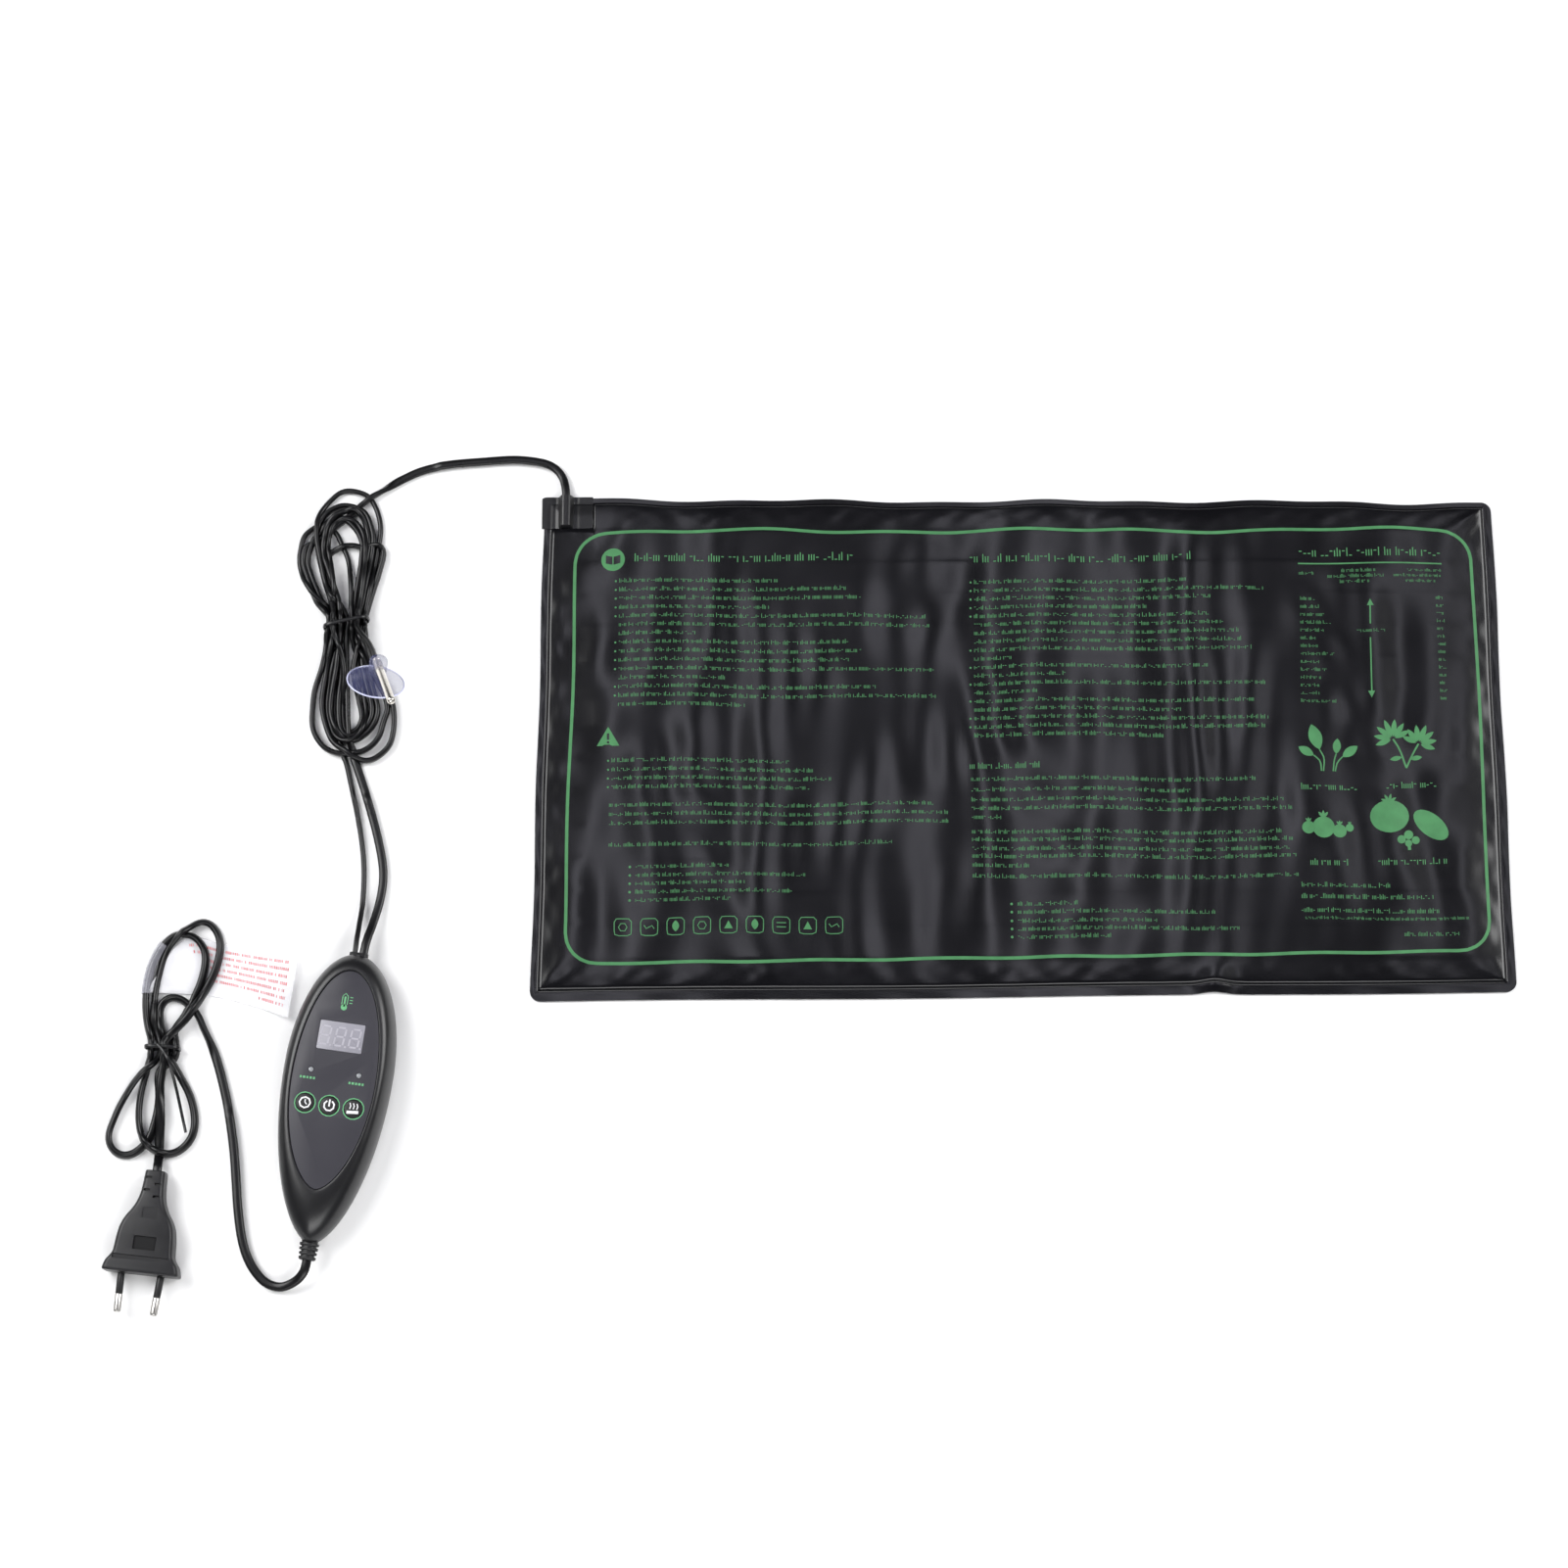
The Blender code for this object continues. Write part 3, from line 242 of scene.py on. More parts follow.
# Places and sizes are in metres here, and angles in degrees. The camera was fitted to the mat's
# four corners in the photo.
CAMERA_PLACE = (-0.1171, -0.4352, 1.6918)
CAMERA_TILT = 13.7614
CAMERA_ROLL = -0.15
LENS = 80.95
SENSOR_WIDTH = 36
WORLD_COLOUR = (0.93, 0.95, 1.0, 1)
WORLD_STRENGTH = 0.06
WHITE = (1, 1, 1)
COOL = (0.90, 0.89, 1.0)
STRIP = (0.12, 0.95)
# Name, place, aim, size, power in watts and colour. The strips make the mat's vertical glints.
LIGHTS = [
    ("key", (-1.5, 0.5, 1.5), (-0.1, 0, 0), (1.1, 1.5), 44, WHITE),
    ("right", (1.6, 0.4, 1.4), (0.1, 0, 0), (1.0, 1.4), 40, WHITE),
    ("front", (-0.2, -1.7, 1.4), (-0.1, 0, 0), (1.8, 0.8), 28, WHITE),
    ("strip_left", (-0.32, 0.45, 1.7), (-0.32, 0.45, 0), STRIP, 1.4, COOL),
    ("strip_middle", (0.14, 0.45, 1.7), (0.14, 0.45, 0), STRIP, 1.4, COOL),
    ("strip_right", (0.60, 0.45, 1.7), (0.60, 0.45, 0), STRIP, 1.0, COOL),
]
FLOOR_REACH = 6.0
FLOOR_DROP = 0.0004


def build_camera():
    camera = bpy.data.objects.new("camera", bpy.data.cameras.new("camera"))
    bpy.context.scene.collection.objects.link(camera)
    camera.data.lens = LENS
    camera.data.sensor_width = SENSOR_WIDTH
    place = Matrix.Translation(CAMERA_PLACE)
    tilt = Matrix.Rotation(math.radians(CAMERA_TILT), 4, "X")
    roll = Matrix.Rotation(math.radians(CAMERA_ROLL), 4, "Z")
    camera.matrix_world = place @ tilt @ roll
    bpy.context.scene.camera = camera


def build_lights():
    world = bpy.data.worlds.new("studio")
    world.use_nodes = True
    background = world.node_tree.nodes["Background"]
    background.inputs["Color"].default_value = WORLD_COLOUR
    background.inputs["Strength"].default_value = WORLD_STRENGTH
    bpy.context.scene.world = world
    for name, place, aim, size, power, colour in LIGHTS:
        light = bpy.data.objects.new(name, bpy.data.lights.new(name, "AREA"))
        light.data.shape = "RECTANGLE"
        light.data.size, light.data.size_y = size
        light.data.energy = power
        light.data.color = colour
        light.location = place
        light.rotation_euler = (Vector(aim) - Vector(place)).to_track_quat("-Z", "Y").to_euler()
        bpy.context.scene.collection.objects.link(light)


def build_floor():
    corners = [(x, y, 0) for x, y in ((-1, -1), (1, -1), (1, 1), (-1, 1))]
    mesh = bpy.data.meshes.new("floor")
    mesh.from_pydata([Vector(corner) * FLOOR_REACH for corner in corners], [], [(0, 1, 2, 3)])
    floor = bpy.data.objects.new("floor", mesh)
    floor.location.z = -FLOOR_DROP
    bpy.context.scene.collection.objects.link(floor)
    floor.data.materials.append(plain("pale_floor", (0.88, 0.88, 0.88), 0.9))


# ---------------------------------------------------------------- materials


def plain(name, colour, roughness, metallic=0.0, specular=0.5):
    made = bpy.data.materials.new(name)
    made.use_nodes = True
    shader = made.node_tree.nodes["Principled BSDF"]
    shader.inputs["Base Color"].default_value = (*colour, 1)
    shader.inputs["Roughness"].default_value = roughness
    shader.inputs["Metallic"].default_value = metallic
    shader.inputs["Specular IOR Level"].default_value = specular
    return made


def noise(nodes, links, place, size, detail):
    """A noise texture with features of a size in millimetres."""
    texture = nodes.new("ShaderNodeTexNoise")
    texture.inputs["Scale"].default_value = 1 / (size * MM)
    texture.inputs["Detail"].default_value = detail
    links.new(place, texture.inputs["Vector"])
    return texture.outputs["Fac"]


def ranged(nodes, links, value, low, high, start=0.0, end=1.0):
    """A value carried from one range to another."""
    band = nodes.new("ShaderNodeMapRange")
    for name, number in (("From Min", start), ("From Max", end), ("To Min", low), ("To Max", high)):
        band.inputs[name].default_value = number
    links.new(value, band.inputs["Value"])
    return band.outputs["Result"]


def surface(name, colour, roughness, metallic=0.0, specular=0.5, grain=0.6, bump=0.0, mottle=0.1,
            patch=14.0, stretch=(1, 1, 1)):
    """A Principled material whose colour and roughness drift over patches, with a fine relief.

    grain, patch and bump are in millimetres, and mottle is a share of the colour."""
    made = plain(name, colour, roughness, metallic, specular)
    nodes, links = made.node_tree.nodes, made.node_tree.links
    shader = nodes["Principled BSDF"]
    place = nodes.new("ShaderNodeTexCoord")
    spread = nodes.new("ShaderNodeMapping")
    spread.inputs["Scale"].default_value = stretch
    links.new(place.outputs["Object"], spread.inputs["Vector"])
    broad = noise(nodes, links, spread.outputs["Vector"], patch, 3.0)
    tint = nodes.new("ShaderNodeMix")
    tint.data_type = "RGBA"
    tint.inputs["A"].default_value = (*[c * (1 - mottle) for c in colour], 1)
    tint.inputs["B"].default_value = (*[min(1, c * (1 + mottle)) for c in colour], 1)
    links.new(ranged(nodes, links, broad, 0, 1, 0.3, 0.7), tint.inputs["Factor"])
    links.new(tint.outputs["Result"], shader.inputs["Base Color"])
    drift = ranged(nodes, links, broad, roughness * 0.88, roughness * 1.12, 0.3, 0.7)
    links.new(drift, shader.inputs["Roughness"])
    if bump:
        relief = nodes.new("ShaderNodeBump")
        relief.inputs["Strength"].default_value = 1.0
        relief.inputs["Distance"].default_value = bump * MM
        fine = noise(nodes, links, spread.outputs["Vector"], grain, 4.0)
        links.new(fine, relief.inputs["Height"])
        links.new(relief.outputs["Normal"], shader.inputs["Normal"])
    return made


def see_through(made, face_on, edge_on):
    """Makes a material clear where it is seen face on and denser towards its edges."""
    nodes, links = made.node_tree.nodes, made.node_tree.links
    facing = nodes.new("ShaderNodeLayerWeight")
    facing.inputs["Blend"].default_value = 0.35
    density = ranged(nodes, links, facing.outputs["Facing"], face_on, edge_on)
    links.new(density, nodes["Principled BSDF"].inputs["Alpha"])
    return made


# ---------------------------------------------------------------- mesh helpers


def stands_for(obj, slot, *nodes):
    """Says which CAD nodes a piece takes the place of, and hides them. The slot is not used."""
    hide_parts(*nodes)
    return obj


def unit(vectors):
    return vectors / np.linalg.norm(vectors, axis=1)[:, None]


def mesh_object(name, points, faces, finish, place=None, body=BASE, sharp=35):
    points = np.asarray(points, float) * MM
    if place is not None:
        turn = np.array(place.to_3x3())
        points = points @ turn.T + np.array(place.translation)
    mesh = bpy.data.meshes.new(name)
    mesh.from_pydata(points.tolist(), [], faces)
    bm = bmesh.new()
    bm.from_mesh(mesh)
    bmesh.ops.recalc_face_normals(bm, faces=bm.faces)
    bm.to_mesh(mesh)
    bm.free()
    mesh.shade_smooth()
    mesh.set_sharp_from_angle(angle=math.radians(sharp))
    mesh.materials.append(finish)
    obj = bpy.data.objects.new(name, mesh)
    bpy.context.scene.collection.objects.link(obj)
    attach(obj, body)
    return obj


def loft(name, rings, finish, looped=False, **where):
    """A closed solid through rings of equally many points: capped at both ends, or looped round."""
    rings = [np.asarray(ring, float) for ring in rings]
    count, across = len(rings), len(rings[0])
    faces = []
    for i in range(count if looped else count - 1):
        for k in range(across):
            low, high = i * across, (i + 1) % count * across
            faces.append((low + k, low + (k + 1) % across, high + (k + 1) % across, high + k))
    if not looped:
        faces.append(tuple(reversed(range(across))))
        faces.append(tuple(range((count - 1) * across, count * across)))
    return mesh_object(name, np.concatenate(rings), faces, finish, **where)


def turned(name, profile, finish, sides=48, squash=(1, 1), looped=False, **where):
    """A solid turned about +Z from (radius, height) points."""
    turn = 2 * math.pi * np.arange(sides) / sides
    rings = []
    for radius, height in profile:
        x, y = radius * squash[0] * np.cos(turn), radius * squash[1] * np.sin(turn)
        rings.append(np.stack([x, y, np.full(sides, height)], axis=1))
    return loft(name, rings, finish, looped, **where)


def inset(outline, by):
    """An anticlockwise outline drawn in by a distance, point by point along its normals."""
    points = np.asarray(outline, float)
    along = unit(np.roll(points, -1, axis=0) - np.roll(points, 1, axis=0))
    return points + by * np.stack([-along[:, 1], along[:, 0]], axis=1)


def level(outline, height):
    return np.column_stack([outline, np.full(len(outline), height)])


def slab(name, outline, low, high, finish, rounding=0.0, under=0.0, steps=5, **where):
    """An outline made solid between two heights, with rounded edges above and below."""
    rings = []
    for radius, end, up in ((under, low, 1), (rounding, high, -1)):
        edge = []
        for k in range(steps + 1 if radius else 1):
            angle = math.pi / 2 * k / steps
            drawn_in = inset(outline, radius * (1 - math.sin(angle)))
            edge.append(level(drawn_in, end + up * radius * (1 - math.cos(angle))))
        rings += edge if up > 0 else edge[::-1]
    return loft(name, rings, finish, **where)


def rounded_rectangle(half_x, half_y, radius, steps=6, centre=(0, 0)):
    """Points round a rectangle with arcs at its corners, anticlockwise."""
    points = []
    for turn, (sx, sy) in enumerate([(1, 1), (-1, 1), (-1, -1), (1, -1)]):
        for k in range(steps + 1):
            angle = math.pi / 2 * (turn + k / steps)
            points.append((
                centre[0] + sx * (half_x - radius) + radius * math.cos(angle),
                centre[1] + sy * (half_y - radius) + radius * math.sin(angle),
            ))
    return points


def circle(radius, sides=48, centre=(0, 0)):
    turn = 2 * math.pi * np.arange(sides) / sides
    return np.stack([centre[0] + radius * np.cos(turn), centre[1] + radius * np.sin(turn)], axis=1)


def cut(obj, cutters):
    """Takes the cutters out of the piece for good."""
    for tool in cutters:
        modifier = obj.modifiers.new("cut", "BOOLEAN")
        modifier.operation = "DIFFERENCE"
        modifier.solver = "EXACT"
        modifier.object = tool
    bpy.context.view_layer.update()
    graph = bpy.context.evaluated_depsgraph_get()
    mesh = bpy.data.meshes.new_from_object(obj.evaluated_get(graph))
    obj.modifiers.clear()
    obj.data = mesh
    mesh.shade_smooth()
    mesh.set_sharp_from_angle(angle=math.radians(35))
    for tool in cutters:
        bpy.data.objects.remove(tool, do_unlink=True)


def cutter(outline, low, high, place):
    """An outline made solid between two heights, to be taken out of a piece."""
    return loft("cutter", [level(outline, z) for z in (low, high)], HOLE, place=place)


def round_cutter(radius, low, high, x, y, place, sides=48):
    return cutter(circle(radius, sides, (x, y)), low, high, place)


def block_cutter(half_x, half_y, low, high, x, y, place, radius=0.3):
    return cutter(rounded_rectangle(half_x, half_y, radius, 3, (x, y)), low, high, place)


def smooth_route(points, spacing):
    """Points read at an even spacing from a smooth curve through the route's own points."""
    route = np.array(points, float)
    ends = np.vstack([2 * route[0] - route[1], route, 2 * route[-1] - route[-2]])
    fine = []
    for k in range(len(route) - 1):
        before, start, end, after = ends[k : k + 4]
        for t in np.linspace(0, 1, 16, endpoint=False):
            fine.append(
                0.5 * (2 * start + (end - before) * t
                       + (2 * before - 5 * start + 4 * end - after) * t**2
                       + (3 * start - before - 3 * end + after) * t**3)
            )
    fine = np.vstack([fine, route[-1:]])
    return spaced(fine, spacing)


def spaced(points, spacing):
    """Points at an even spacing along a line of points."""
    points = np.asarray(points, float)
    along = np.concatenate([[0], np.cumsum(np.linalg.norm(np.diff(points, axis=0), axis=1))])
    count = max(1, math.ceil(along[-1] / spacing)) + 1
    return read_at(np.linspace(0, along[-1], count), along, points)


def read_at(places, along, points):
    """The columns of some points, read at places along them."""
    return np.stack([np.interp(places, along, column) for column in points.T], axis=1)


def directions(line, looped):
    """The direction of a line at each of its points."""
    if looped:
        return unit(np.roll(line, -1, axis=0) - np.roll(line, 1, axis=0))
    return unit(np.gradient(line, axis=0))


def band_rings(line, wide, thick, roll=0.0, sides=16, power=2.6, looped=False, wide_along=None):
    """Rings of a flat oval swept along a line, turned by its roll or with its width along an axis."""
    line = np.asarray(line, float)
    ahead = directions(line, looped)
    if wide_along is None:
        side = unit(np.cross(ahead, (0, 0, 1.0)))
        roll = np.broadcast_to(roll, len(line))[:, None]
        wide_axis = np.cos(roll) * side + np.sin(roll) * np.cross(side, ahead)
    else:
        wide_axis = unit(wide_along - ahead * (ahead @ wide_along)[:, None])
    thin_axis = np.cross(ahead, wide_axis)
    turn = 2 * math.pi * np.arange(sides) / sides
    across, deep = (size / 2 * np.sign(wave) * np.abs(wave) ** (2 / power)
                    for size, wave in ((wide, np.cos(turn)), (thick, np.sin(turn))))
    return (line[:, None, :] + across[None, :, None] * wide_axis[:, None, :]
            + deep[None, :, None] * thin_axis[:, None, :])


# The longest side of a printed stroke's and of a filled shape's faces
PRINT_STEP = 2.2
FILL_STEP = 2.4


class Marks:
    """Thin printed marks that follow a surface, gathered into one mesh."""

    def __init__(self, height, proud=0.08, sunk=0.05, drift=None):
        self.height, self.proud, self.sunk, self.drift = height, proud, sunk, drift
        self.points, self.faces = [], []

    def add(self, outer, faces):
        first = len(self.points)
        x, y = np.asarray(outer, float).T
        if self.drift:
            y = y + self.drift(x, y)
        z = self.height(x, y)
        count = len(x)
        self.points += list(np.stack([x, y, z + self.proud], axis=1))
        self.points += list(np.stack([x, y, z - self.sunk], axis=1))
        self.faces += [tuple(first + k for k in face) for face in faces(count)]

    def ribbon(self, points, width, closed=False):
        """A stroke of even width along points in the plane."""
        line = np.asarray(list(points) + ([points[0]] if closed else []), float)
        line = spaced(line, PRINT_STEP)
        if closed:
            line = line[:-1]
        ahead = directions(line, closed)
        side = np.stack([-ahead[:, 1], ahead[:, 0]], axis=1) * width / 2
        edges = np.concatenate([line + side, line - side])

        def faces(count):
            n, made = count // 2, []
            for k in range(n if closed else n - 1):
                a, b = k, (k + 1) % n
                made += [(a, a + n, b + n, b), (count + a, count + b, count + b + n, count + a + n),
                         (a, b, count + b, count + a), (b + n, a + n, count + a + n, count + b + n)]
            if not closed:
                for a in (0, n - 1):
                    made.append((a, a + n, count + a + n, count + a))
            return made

        self.add(edges, faces)

    def fill(self, outline):
        """A filled shape, in rings about its middle where it is large, to follow the surface."""
        outline = np.asarray(outline, float)
        middle = outline.mean(axis=0)
        rings = math.ceil(np.linalg.norm(outline - middle, axis=1).max() / FILL_STEP)
        sides = len(outline)
        points = [middle + (outline - middle) * (1 - k / rings) for k in range(rings)]

        def faces(count):
            made = []
            for k in range(sides):
                following = (k + 1) % sides
                made.append((k, following, count + following, count + k))
                for ring in range(rings - 1):
                    near, far = ring * sides, ring * sides + sides
                    face = (near + k, near + following, far + following, far + k)
                    made.append(face)
                    made.append(tuple(count + point for point in face[::-1]))
            last = (rings - 1) * sides
            made.append(tuple(range(last, last + sides)))
            made.append(tuple(range(count + last + sides - 1, count + last - 1, -1)))
            return made

        self.add(np.concatenate(points), faces)

    def bar(self, x, y, half_x, half_y):
        corners = ((-1, -1), (1, -1), (1, 1), (-1, 1))
        self.fill([(x + a * half_x, y + b * half_y) for a, b in corners])

    def ring(self, x, y, radius, width, sides=28, start=0.0, sweep=2 * math.pi):
        closed = sweep > 6.28
        turn = start + sweep * np.arange(sides + (0 if closed else 1)) / sides
        self.ribbon([(x + radius * math.cos(a), y + radius * math.sin(a)) for a in turn], width, closed)

    def disc(self, x, y, radius, sides=28):
        self.fill(circle(radius, sides, (x, y)))

    def build(self, name, finish, **where):
        return mesh_object(name, self.points, self.faces, finish, **where)


# ---------------------------------------------------------------- leads

# How far a pass runs straight through its tie on each side, and the height of a hank's first layer
TIE_REACH = 4.0
LAYER_FLOOR = 2.4
# A tie's strands lie within these of its middle and of the bench
TIE_HALF = 15
TIE_TOP = 22
# The lengths over which a flat lead turns on edge, and over which a lead's held ends become free
TILT_EASE = 16.0
HOLD_FADE = 30
# The settling of the leads, for each step: how far they fall, how strongly they are smoothed, keep
# their bend and keep their place, and how far apart strands that touch are pushed
FALL = 0.12
SMOOTHING = 0.4
BEND = 0.12
HOME_PULL = 0.06
PUSH = 1.3
NEAR = 7.5
PAIRS_EVERY = 12
# Points within these of a tie, across, along and up, stay where they are
HELD_BAND = (14, 3.5, 20)


def slot_place(tie, slot, pitch, columns, tall):
    """The place of one slot of a tie's close pack."""
    column, row = slot
    return (tie[0] + (column - (columns - 1) / 2) * pitch, tie[1], 0.6 + tall * (row + 0.5))


def passes(tie, slots, turns, pitch, columns, tall, lift):
    """A hank's turns as one run of points: through the tie, round a lobe, and through it again."""
    points = []
    for k, slot in enumerate(slots):
        x, y, z = slot_place(tie, slot, pitch, columns, tall)
        rising = (turns[k][1][0][1] > y) if k < len(turns) else (turns[k - 1][1][-1][1] < y)
        nudge = TIE_REACH if rising else -TIE_REACH
        points += [(x, y - nudge, z), (x, y + nudge, z)]
        if k < len(turns):
            level_of, lobe = turns[k]
            points += layered(lobe, lift, level_of)
    return points


def layered(lobe, lift, layer):
    """A lobe's points at the height of the layer that it lies in."""
    return [(x, y, LAYER_FLOOR + lift * layer) for x, y in lobe]


class Chain:
    """One lead as a string of points, with its half-width and half-height at each of them."""

    def __init__(self, points, size, edge_from, edge_to, tilt, fixed):
        self.points = smooth_route(points, STEP)
        self.size = size
        along = np.arange(len(self.points)) * STEP
        total = along[-1]
        rise = np.clip((along - edge_from) / TILT_EASE, 0, 1)
        rise = rise * np.clip((total - edge_to - along) / TILT_EASE, 0, 1)
        self.roll = math.radians(tilt) * rise * rise * (3 - 2 * rise)
        wide, thick = size[0] / 2, size[1] / 2
        self.across = np.hypot(np.cos(self.roll) * wide, np.sin(self.roll) * thick)
        self.tall = np.hypot(np.sin(self.roll) * wide, np.cos(self.roll) * thick)
        past_ends = np.minimum(along - fixed[0], total - fixed[1] - along)
        self.held = np.clip(1 - past_ends / HOLD_FADE, 0, 1)

    def swept(self, name, finish, sides=16, power=2.6):
        """The lead's surface, with the line that it follows in metres."""
        line = smooth_route(self.points, STEP / 1.6)
        roll = np.interp(np.linspace(0, 1, len(line)), np.linspace(0, 1, len(self.roll)), self.roll)
        rings = band_rings(line, *self.size, roll, sides, power)
        return loft(name, rings, finish), line * MM

    def near(self, tie, reach=2.0):
        """The lowest and highest (x, z) of the lead's sections in a tie."""
        off = np.abs(self.points - (*tie, 0))
        some = (off[:, 1] < reach) & (off[:, 0] < TIE_HALF) & (self.points[:, 2] < TIE_TOP)
        place, across, tall = self.points[some], self.across[some], self.tall[some]
        low = np.stack([place[:, 0] - across, place[:, 2] - tall], axis=1)
        high = np.stack([place[:, 0] + across, place[:, 2] + tall], axis=1)
        return low, high


def joined(chains, of):
    return np.concatenate([of(chain) for chain in chains])


def close_pairs(place, owner, order):
    """The pairs of points that may come to touch: of two leads, or well apart along one."""
    gap = np.linalg.norm(place[:, None, :] - place[None, :, :], axis=2)
    near = gap < NEAR
    near &= np.arange(len(place))[:, None] < np.arange(len(place))[None, :]
    near &= (owner[:, None] != owner[None, :]) | (np.abs(order[:, None] - order[None, :]) > 4)
    return np.nonzero(near)


def middle_off(place, at, reach):
    """How far the middle of two points, each so many points off, lies from the point between."""
    return 0.5 * (place[at - reach] + place[at + reach]) - place[at]


def keep_lengths(place, weight, link, rest):
    """Pulls neighbours back to their distance, every other link at a time."""
    for parity in (0, 1):
        some = link[parity::2]
        span = place[some + 1] - place[some]
        size = np.linalg.norm(span, axis=1)
        both = np.maximum(weight[some] + weight[some + 1], 1e-9)
        shift = ((size - rest[parity::2]) / np.maximum(size, 1e-9) / both)[:, None] * span
        place[some] += shift * weight[some][:, None]
        place[some + 1] -= shift * weight[some + 1][:, None]


def push_apart(place, weight, across, tall, first, second):
    """Moves points apart whose sections overlap, each taken as an upright ellipsoid."""
    wide = across[first] + across[second]
    high = tall[first] + tall[second]
    away = place[second] - place[first]
    scale = np.stack([1 / wide**2, 1 / wide**2, 1 / high**2], axis=1)
    q = np.sqrt((away**2 * scale).sum(1)) + 1e-9
    hit = q < 1
    push = away[hit] * scale[hit] / q[hit, None]
    push *= ((1 - q[hit]) / (push**2).sum(1))[:, None]
    push[:, :2] *= 0.45
    count = np.bincount(first[hit], minlength=len(place))
    count = count + np.bincount(second[hit], minlength=len(place))
    shift = np.zeros_like(place)
    np.add.at(shift, first[hit], -0.5 * push)
    np.add.at(shift, second[hit], 0.5 * push)
    place += shift * (weight * PUSH / np.maximum(1, count) ** 0.7)[:, None]


def settle(chains, tie, steps=420):
    """Lets leads fall, lie on each other and on the bench, and keep their length and their tie."""
    place = joined(chains, lambda chain: chain.points)
    across = joined(chains, lambda chain: chain.across)
    tall = joined(chains, lambda chain: chain.tall)
    held = joined(chains, lambda chain: chain.held)
    order = joined(chains, lambda chain: np.arange(len(chain.points)))
    owner = np.repeat(np.arange(len(chains)), [len(chain.points) for chain in chains])
    off = np.abs(place - (*tie, 0))
    held[(off[:, 1] < HELD_BAND[1]) & (off[:, 0] < HELD_BAND[0]) & (place[:, 2] < HELD_BAND[2])] = 1
    weight = 1 - held
    home = place.copy()
    link = np.flatnonzero(owner[1:] == owner[:-1])
    rest = np.linalg.norm((place[link + 1] - place[link]) * (1, 1, 0.25), axis=1)
    inner = np.flatnonzero(owner[2:] == owner[:-2]) + 1
    wide_inner = np.flatnonzero(owner[6:] == owner[:-6]) + 3
    for step in range(steps):
        if step % PAIRS_EVERY == 0:
            first, second = close_pairs(place, owner, order)
        place[:, 2] -= FALL * weight
        place[inner] += SMOOTHING * middle_off(place, inner, 1) * weight[inner, None]
        bend = middle_off(place, wide_inner, 3) - middle_off(home, wide_inner, 3)
        place[wide_inner] += BEND * bend * weight[wide_inner, None]
        place[:, :2] += HOME_PULL * (home - place)[:, :2] * weight[:, None]
        keep_lengths(place, weight, link, rest)
        push_apart(place, weight, across, tall, first, second)
        place[:, 2] = np.maximum(place[:, 2], tall + 0.05)
    at = 0
    for chain in chains:
        chain.points = place[at : at + len(chain.points)]
        at += len(chain.points)


def settle_leads():
    """The three leads as they lie, both thin ones in one hank."""
    pack = (3.0, 7, 4.4, 4.6)
    into = [(-331, -3, 4), (-334, 8, 3), (-335, 25, 3), (-335, 45, 3)]
    points = MAT_LEAD_TO_CASE[::-1] + into + passes(UPPER_TIE, MAT_SLOTS, MAT_TURNS, *pack)
    layer, lobe = MAT_LAST_RISE
    points += layered(lobe, pack[-1], layer) + MAT_LEAD_TO_HANK[::-1]
    mat = Chain(points, MAT_LEAD, 111, 110, 90, (88, 84))

    into = [(-336, -3, 4), (-339, 10, 2), (-340, 25, 2), (-340, 45, 2)]
    points = PROBE_LEAD_TO_CASE[::-1] + into + passes(UPPER_TIE, PROBE_SLOTS, PROBE_TURNS, *pack)
    points += PROBE_LEAD_TO_TIE[::-1]
    probe = Chain(points, PROBE_LEAD, 0, 0, 0, (88, 8))
    settle([mat, probe], UPPER_TIE)

    crest = [(x, y, 9.0) for x, y in MAINS_CREST]
    points = MAINS_LEAD_TO_HANK + crest + passes(LOWER_TIE, MAINS_SLOTS, MAINS_TURNS, 3.9, 4, 5.2, 5.2)
    points += [(-418.4, -170, 14), (-418.4, -186, 12), (-418.4, -198, 8)] + MAINS_LEAD_TO_PLUG
    mains = Chain(points, MAINS_LEAD, 151, 36, 62, (118, 8))
    settle([mains], LOWER_TIE)
    return mat, probe, mains


def build_leads():
    jacket = surface("lead_pvc", (0.0040, 0.0040, 0.0046), 0.30, specular=0.31, bump=0.006,
                     mottle=0.15)
    mat, probe, mains = settle_leads()
    upper_tie = build_tie("upper_twist_tie", [mat, probe], UPPER_TIE, 0.22, "upper_tie")
    lower_tie = build_tie("lower_twist_tie", [mains], LOWER_TIE, -0.05, "lower_tie", LOWER_TIE_TAIL)
    tag_pieces = build_tag(mains)

    mat_lead, mat_path = mat.swept("mat_lead", jacket)
    probe_lead, probe_path = probe.swept("probe_lead_strand", jacket, 14, 2.0)
    mains_lead, mains_path = mains.swept("mains_lead_strand", jacket)
    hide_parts("mat_lead_upper", "mat_lead_lower", "upper_hank")
    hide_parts("probe_lead", "probe_lead_end")
    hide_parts("mains_lead", "mains_hank", "mains_lead_end")


